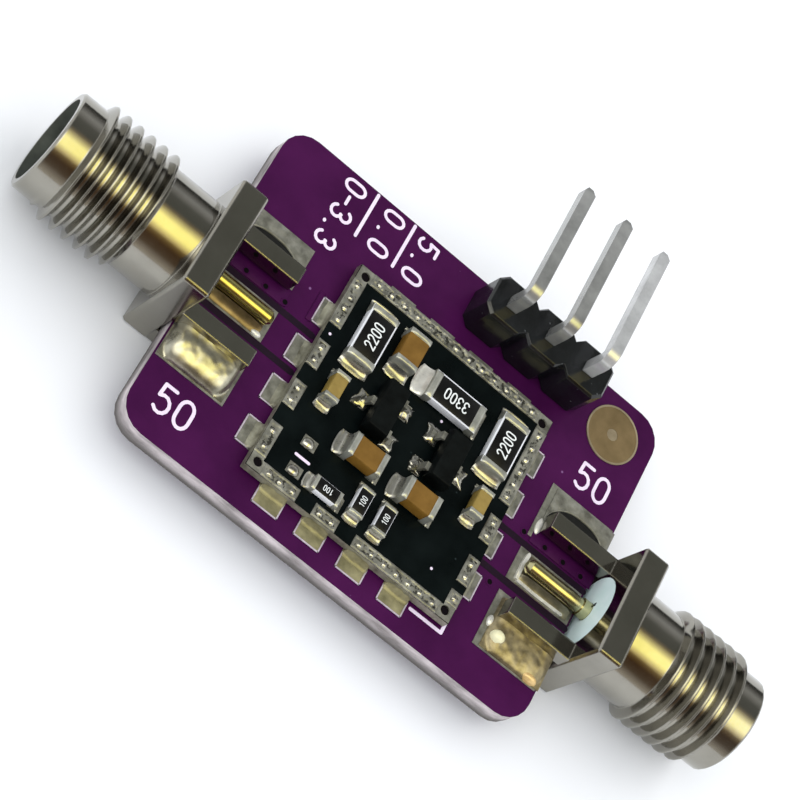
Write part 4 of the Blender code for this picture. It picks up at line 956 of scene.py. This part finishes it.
def make_leg_solder(name, paint, height, power, rough, inner_end, fall, seed, bead=None):
    """Heaped solder beside one jack leg, in the place of its plain solid: a dome on wetted land.

    A bead on it is given by its place along and across, its reach and its height.
    """
    low, high = board_box(name)
    film = LAND_RISE + 0.035

    def place(u, v):
        return low.x + (high.x - low.x) * u, high.y + (low.y - high.y) * v

    def rise(u, v):
        x, y = place(u, v)
        from_inner = 1 - u if low.x < 0 else u
        along = abs(from_inner * 2 - 1)
        end = along ** (inner_end if from_inner < 0.5 else 8.0)
        body = max(0.0, 1.0 - v ** fall - end) ** power
        lump = bumps(x, y, 1.2, seed) * 0.03 + bumps(x, y, 0.42, seed) * rough
        lump += bumps(x, y, 0.2, seed + 3) * rough * 0.3
        edge = smooth_step(min(u, 1 - u, 1 - v), 0.0, 0.05)
        z = film + (height - film) * body + lump * edge * (0.25 + body)
        if bead:
            at_u, at_v, reach, tall = bead
            away = ((from_inner - at_u) * 3.8 / reach) ** 2 + ((v - at_v) * 2.85 / reach) ** 2
            z += tall * max(0.0, 1 - away) ** 0.5
        return z

    mound(name + "_joint", paint, (44, 30, place, rise, FOOT), 70)


def make_thin_solder(name, seed, bulge):
    """Thin dull solder beyond one jack leg, with a raised dark lens between it and the leg: painted
    shade for the shadowed gap there.
    """
    low, high = board_box(name)
    film = LAND_RISE + 0.05
    start = low.y + 0.4
    leg_face = low.y + 1.1
    middle = (low.x + high.x) / 2
    half = (high.x - low.x) / 2 - 0.1

    def place(u, v):
        return low.x + (high.x - low.x) * u, start + (high.y - start) * v

    def rise(u, v):
        x, y = place(u, v)
        lump = bumps(x, y, 0.9, seed) * 0.04 + bumps(x, y, 0.3, seed) * 0.016
        return film + (0.02 + lump) * smooth_step(min(u, 1 - u, 1 - v), 0.0, 0.05)

    def outer(u):
        return dome(u, 2.6, 0.7) * bulge

    def lens_place(u, v):
        ripple = 0.02 * bumps(u * 4, 0.0, 0.5, seed)
        return middle + (u * 2 - 1) * half, leg_face + outer(u) * v + ripple

    def lens_rise(u, v):
        return film + 0.07 + 0.05 * math.sin(math.pi * v) * math.sin(math.pi * u)

    def lip_place(u, v):
        return middle + (u * 2 - 1) * half * 1.02, leg_face + outer(u) - 0.02 + 0.14 * v

    def lip_rise(u, v):
        return film + 0.05 + 0.09 * math.sin(math.pi * v) ** 0.7 * math.sin(math.pi * u) ** 0.5

    mound(name + "_joint", "tin", (40, 26, place, rise, FOOT), 70)
    foot = film - 0.03
    # Dark lens beside the leg: painted shade
    mound(name + "_hollow", "hollow", (48, 10, lens_place, lens_rise, foot), 70, "solder")
    mound(name + "_lip", "tin", (48, 6, lip_place, lip_rise, foot), 70, "solder")


def make_solder():
    for strip in tinning_strips():
        make_tinning(*strip)
    make_leg_solder("left_jack_front_leg_solder", "heap_solder", 0.8, 0.62, 0.034, 6.0, 4.2, 21.0)
    make_leg_solder("right_jack_front_leg_solder", "brown_solder", 0.46, 0.6, 0.045, 6.0, 3.6,
                    24.0, (0.16, 0.72, 0.3, 0.1))
    make_thin_solder("left_jack_rear_leg_solder", 27.0, 0.93)
    make_thin_solder("right_jack_rear_leg_solder", 29.0, 1.04)
    make_edge_wash()
    make_diode_solder()


def make_diode_solder():
    """Lumpy bright solder over each diode foot."""
    for name in NODES:
        if "_lead_" not in name:
            continue
        low, high = board_box(name)
        body_low, body_high = board_box(name.split("_lead")[0] + "_body")
        out = -1 if (low.x + high.x) < (body_low.x + body_high.x) else 1
        edge = body_low.x if out < 0 else body_high.x
        middle_y = (low.y + high.y) / 2
        seed = 50 + low.x * 3 + low.y

        def place(u, v):
            reach = 0.76 + 0.2 * bumps(v * 2, 1.0, 0.7, seed)
            wide = 0.42 + 0.16 * bumps(u * 2, 5.0, 0.6, seed)
            return edge + out * (0.04 + reach * u), middle_y + (v * 2 - 1) * wide

        def rise(u, v):
            lump = bumps(u, v, 0.45, seed) * 0.09 + bumps(u, v, 0.2, seed) * 0.02
            swell = dome(u, 2.6, 0.6) * dome(v, 2.4, 0.6) * (0.14 + lump)
            return MODULE_TOP + LAND_RISE + 0.01 + swell

        def tone(u, v):
            return 1 if bumps(u, v, 0.4, seed + 9) < -0.3 else 0

        mound(name + "_joint", "bright_solder flux",
              (16, 16, place, rise, MODULE_FOOT, tone), slot="solder")


# ---------------- small details

# Drops of solder: name, middle, reaches along and across, height of the top, and paint; the pale
# and cream paints are painted highlights
DROPS = (
    ("right_rear_drop", 8.56, 0.22, 0.2, 0.46, 0.16, "pale_solder"),
    ("right_front_drop", 8.52, -5.62, 0.2, 0.3, 0.2, "pale_solder"),
    # The bead below is painted cream as a highlight
    ("right_front_bead", 9.18, -6.2, 0.46, 0.42, 0.6, "painted_highlight_solder"),
    ("right_front_flux", 11.62, -6.84, 0.52, 0.26, 0.4, "orange_solder"),
    ("left_contact_drop", -8.66, -1.42, 0.3, 0.18, 0.17, "pale_solder"),
    ("free_pad_drop_1", -3.9, -4.67, 0.34, 0.3, MODULE_TOP + 0.2, "bright_solder"),
    ("free_pad_drop_2", -3.9, -6.3, 0.34, 0.3, MODULE_TOP + 0.2, "bright_solder"),
)

# Mask over lands, from corner to corner
MASK_COVERS = ((-12.2, 0.7, -8.2, 1.7), (8.42, -0.78, 12.42, 0.15), (-6.95, 1.0, -6.64, 2.75))

# Numbers on the carrier board: text, start, reading direction, height, pitch and line width
DOWN, AHEAD = (0.0, -1.0), (1.0, 0.0)
NUMBERS = {
    "print_header_numbers": (("0-3.3", (-8.65, 9.0), DOWN, 1.15, 0.87, 0.17),
                             ("0.0", (-6.15, 9.05), DOWN, 1.12, 0.98, 0.17),
                             ("5.0", (-3.95, 9.05), DOWN, 1.12, 0.98, 0.17)),
    "print_left_number": (("50", (-11.1, -7.95), AHEAD, 1.45, 1.15, 0.18),),
    "print_right_number": (("50", (9.1, 3.45), AHEAD, 1.4, 1.15, 0.18),),
}

# Printed lines: their ends, and how much higher than the others they lie where two cross
LINES = (
    ((-6.9, 9.2), (-6.9, 6.5), 0.0),
    ((-4.5, 9.2), (-4.5, 6.5), 0.0),
    ((4.65, -7.8), (6.58, -7.8), 0.0),
    ((6.58, -7.8), (6.58, -6.95), 0.001),
)
MODULE_DOTS = ((-5.68, 0.79), (1.33, 0.95), (4.4, -5.76))

# Print's level below and above a bare face, and the same for the gaps in the mask
PRINT_LEVELS = (-0.006, 0.012)
GAP_LEVELS = (-0.008, 0.006)

# Bare gaps beside the signal line: both ends, middle line, distance from it, and width
GAPS = ((-12.2, -6.2, -0.67), (6.5, 12.2, -2.22))
GAP_OFFSET = 1.15
GAP_WIDTH = 0.36

# Plated holes: place, and whether they lie in a land
VIAS = (
    (9.33, -0.53, True), (10.53, -0.53, True), (11.7, -0.53, True), (8.0, -0.53, False),
    (-8.3, -2.9, False), (-9.4, 0.95, True), (-8.2, 0.95, True), (-10.6, 0.95, True),
    (7.6, -3.95, False),
)
VIA_HOLE, VIA_RIM = 0.14, 0.22


def make_drop(name, along_x, along_y, wide, deep, tall, paint):
    """Uneven half ball on a land."""
    base = MODULE_FOOT if "free" in name else FOOT
    drop = bmesh.new()
    bmesh.ops.create_uvsphere(drop, u_segments=20, v_segments=12, radius=1.0)
    for vertex in drop.verts:
        x, y, z = vertex.co
        swell = 1 + 0.16 * bumps(x, y, 1.1, along_x)
        vertex.co = (along_x + wide * x * swell, along_y + deep * y * swell,
                     max(base, base + (tall - base) * max(0.0, z)))
    bmesh.ops.remove_doubles(drop, verts=drop.verts, dist=0.0005)
    piece(name, drop, paint, sharp=60)


def make_nicks():
    """Two dark patches on the face of each insulator: painted shade standing in for the inside of
    two nicks.
    """
    nicks = bmesh.new()
    for side, out in (("left", 1), ("right", -1)):
        low, high = board_box(side + "_jack_insulator")
        x = high.x if out > 0 else low.x
        axis_y, axis_z = (low.y + high.y) / 2, (low.z + high.z) / 2
        rim = (high.y - low.y) / 2
        for radius, degrees, size in ((rim - 0.12, 238, 0.12), (0.62, 62, 0.1)):
            turn = math.radians(degrees)
            y, z = axis_y + radius * math.cos(turn), axis_z + radius * math.sin(turn)
            add_block(nicks, (x - 0.004, y - size, z - size), (x + 0.004, y + size, z + size),
                      0.003, 1)
    trim("insulator_nick_shade", nicks, "hole")


def make_small_details():
    """Plug and rim of the test land, drops, mask over lands, and dark discs in the corner holes
    that are painted shade.
    """
    shape = bmesh.new()
    add_disc(shape, TEST_LAND, 0.0, 0.318, -0.25, LAND_RISE - 0.012, 24)
    piece("test_land_plug", shape, "gold_light", sharp=40)
    shape = bmesh.new()
    add_disc(shape, TEST_LAND, 1.46, 1.56, 0.0, LAND_RISE + 0.014, 48)
    piece("test_land_rim", shape, "gold_light", sharp=40)
    for row in DROPS:
        make_drop(*row)
    lips = bmesh.new()
    # Raised lips along the right contact's pad, painted pale as a highlight
    add_stroke(lips, [(8.72, -1.5), (8.66, -2.1), (8.68, -2.9)], 0.2, FOOT, LAND_RISE + 0.17)
    add_stroke(lips, [(8.8, -3.0), (9.8, -3.04), (11.6, -3.0)], 0.17, FOOT, LAND_RISE + 0.15)
    trim("right_contact_lip", lips, "pale_solder")
    cover = bmesh.new()
    for x0, y0, x1, y1 in MASK_COVERS:
        add_block(cover, (x0, y0, -0.01), (x1, y1, LAND_RISE + 0.012), 0.004, 1)
    trim("mask_over_lands", cover, "mask")
    # Dark discs inside the corner holes: painted shade
    plugs = bmesh.new()
    for x in (MODULE_LOW.x + 0.48, MODULE_HIGH.x - 0.48):
        for y in (MODULE_LOW.y + 0.48, MODULE_HIGH.y - 0.48):
            add_disc(plugs, (x, y), 0.0, 0.235, MODULE_TOP - 0.2, MODULE_TOP - 0.04, 20)
    trim("corner_hole_shade", plugs, "hole")
    make_nicks()


def make_prints():
    """Numbers and lines on the carrier board, and small marks on the attenuator board."""
    low, high = PRINT_LEVELS
    for name, rows in NUMBERS.items():
        shape = bmesh.new()
        for row in rows:
            add_number(shape, *row, low, high)
        trim(name, shape, "print")
    shape = bmesh.new()
    for start, end, lift in LINES:
        add_stroke(shape, [start, end], 0.18, low, high + lift)
    trim("print_lines", shape, "print")
    shape = bmesh.new()
    low, high = MODULE_TOP - 0.006, MODULE_TOP + 0.012
    add_stroke(shape, [(-4.18, -5.48), (-3.4, -5.48)], 0.15, low, high)
    for dot in MODULE_DOTS:
        add_disc(shape, dot, 0.0, 0.075, low, high, 16)
    trim("print_module_marks", shape, "print")


def make_gaps_and_vias():
    """Bare strips beside the signal line, and the small plated holes near it, whose middles are
    dark discs of painted shade.
    """
    low, high = GAP_LEVELS
    shape = bmesh.new()
    for x0, x1, y in GAPS:
        for side in (-GAP_OFFSET, GAP_OFFSET):
            add_stroke(shape, [(x0, y + side), (x1, y + side)], GAP_WIDTH, low, high)
    trim("mask_gaps", shape, "mask_gap")
    rims, holes = bmesh.new(), bmesh.new()
    for x, y, in_land in VIAS:
        lift = LAND_RISE + 0.01 if in_land else 0.0
        add_disc(rims, (x, y), VIA_HOLE, VIA_RIM, low, high + lift + 0.012, 20)
        # Each hole's middle is a dark disc: painted shade
        add_disc(holes, (x, y), 0.0, VIA_HOLE, low, high + lift + 0.006, 20)
    trim("via_rims", rims, "mask")
    trim("via_hole_shade", holes, "hole")


# ---------------- scene

add_camera()
add_world()
add_floor()
for lamp in LAMPS:
    add_lamp(*lamp)
PAINT = add_materials()
paint_solids()
make_chips()
make_solder()
make_small_details()
make_prints()
make_gaps_and_vias()
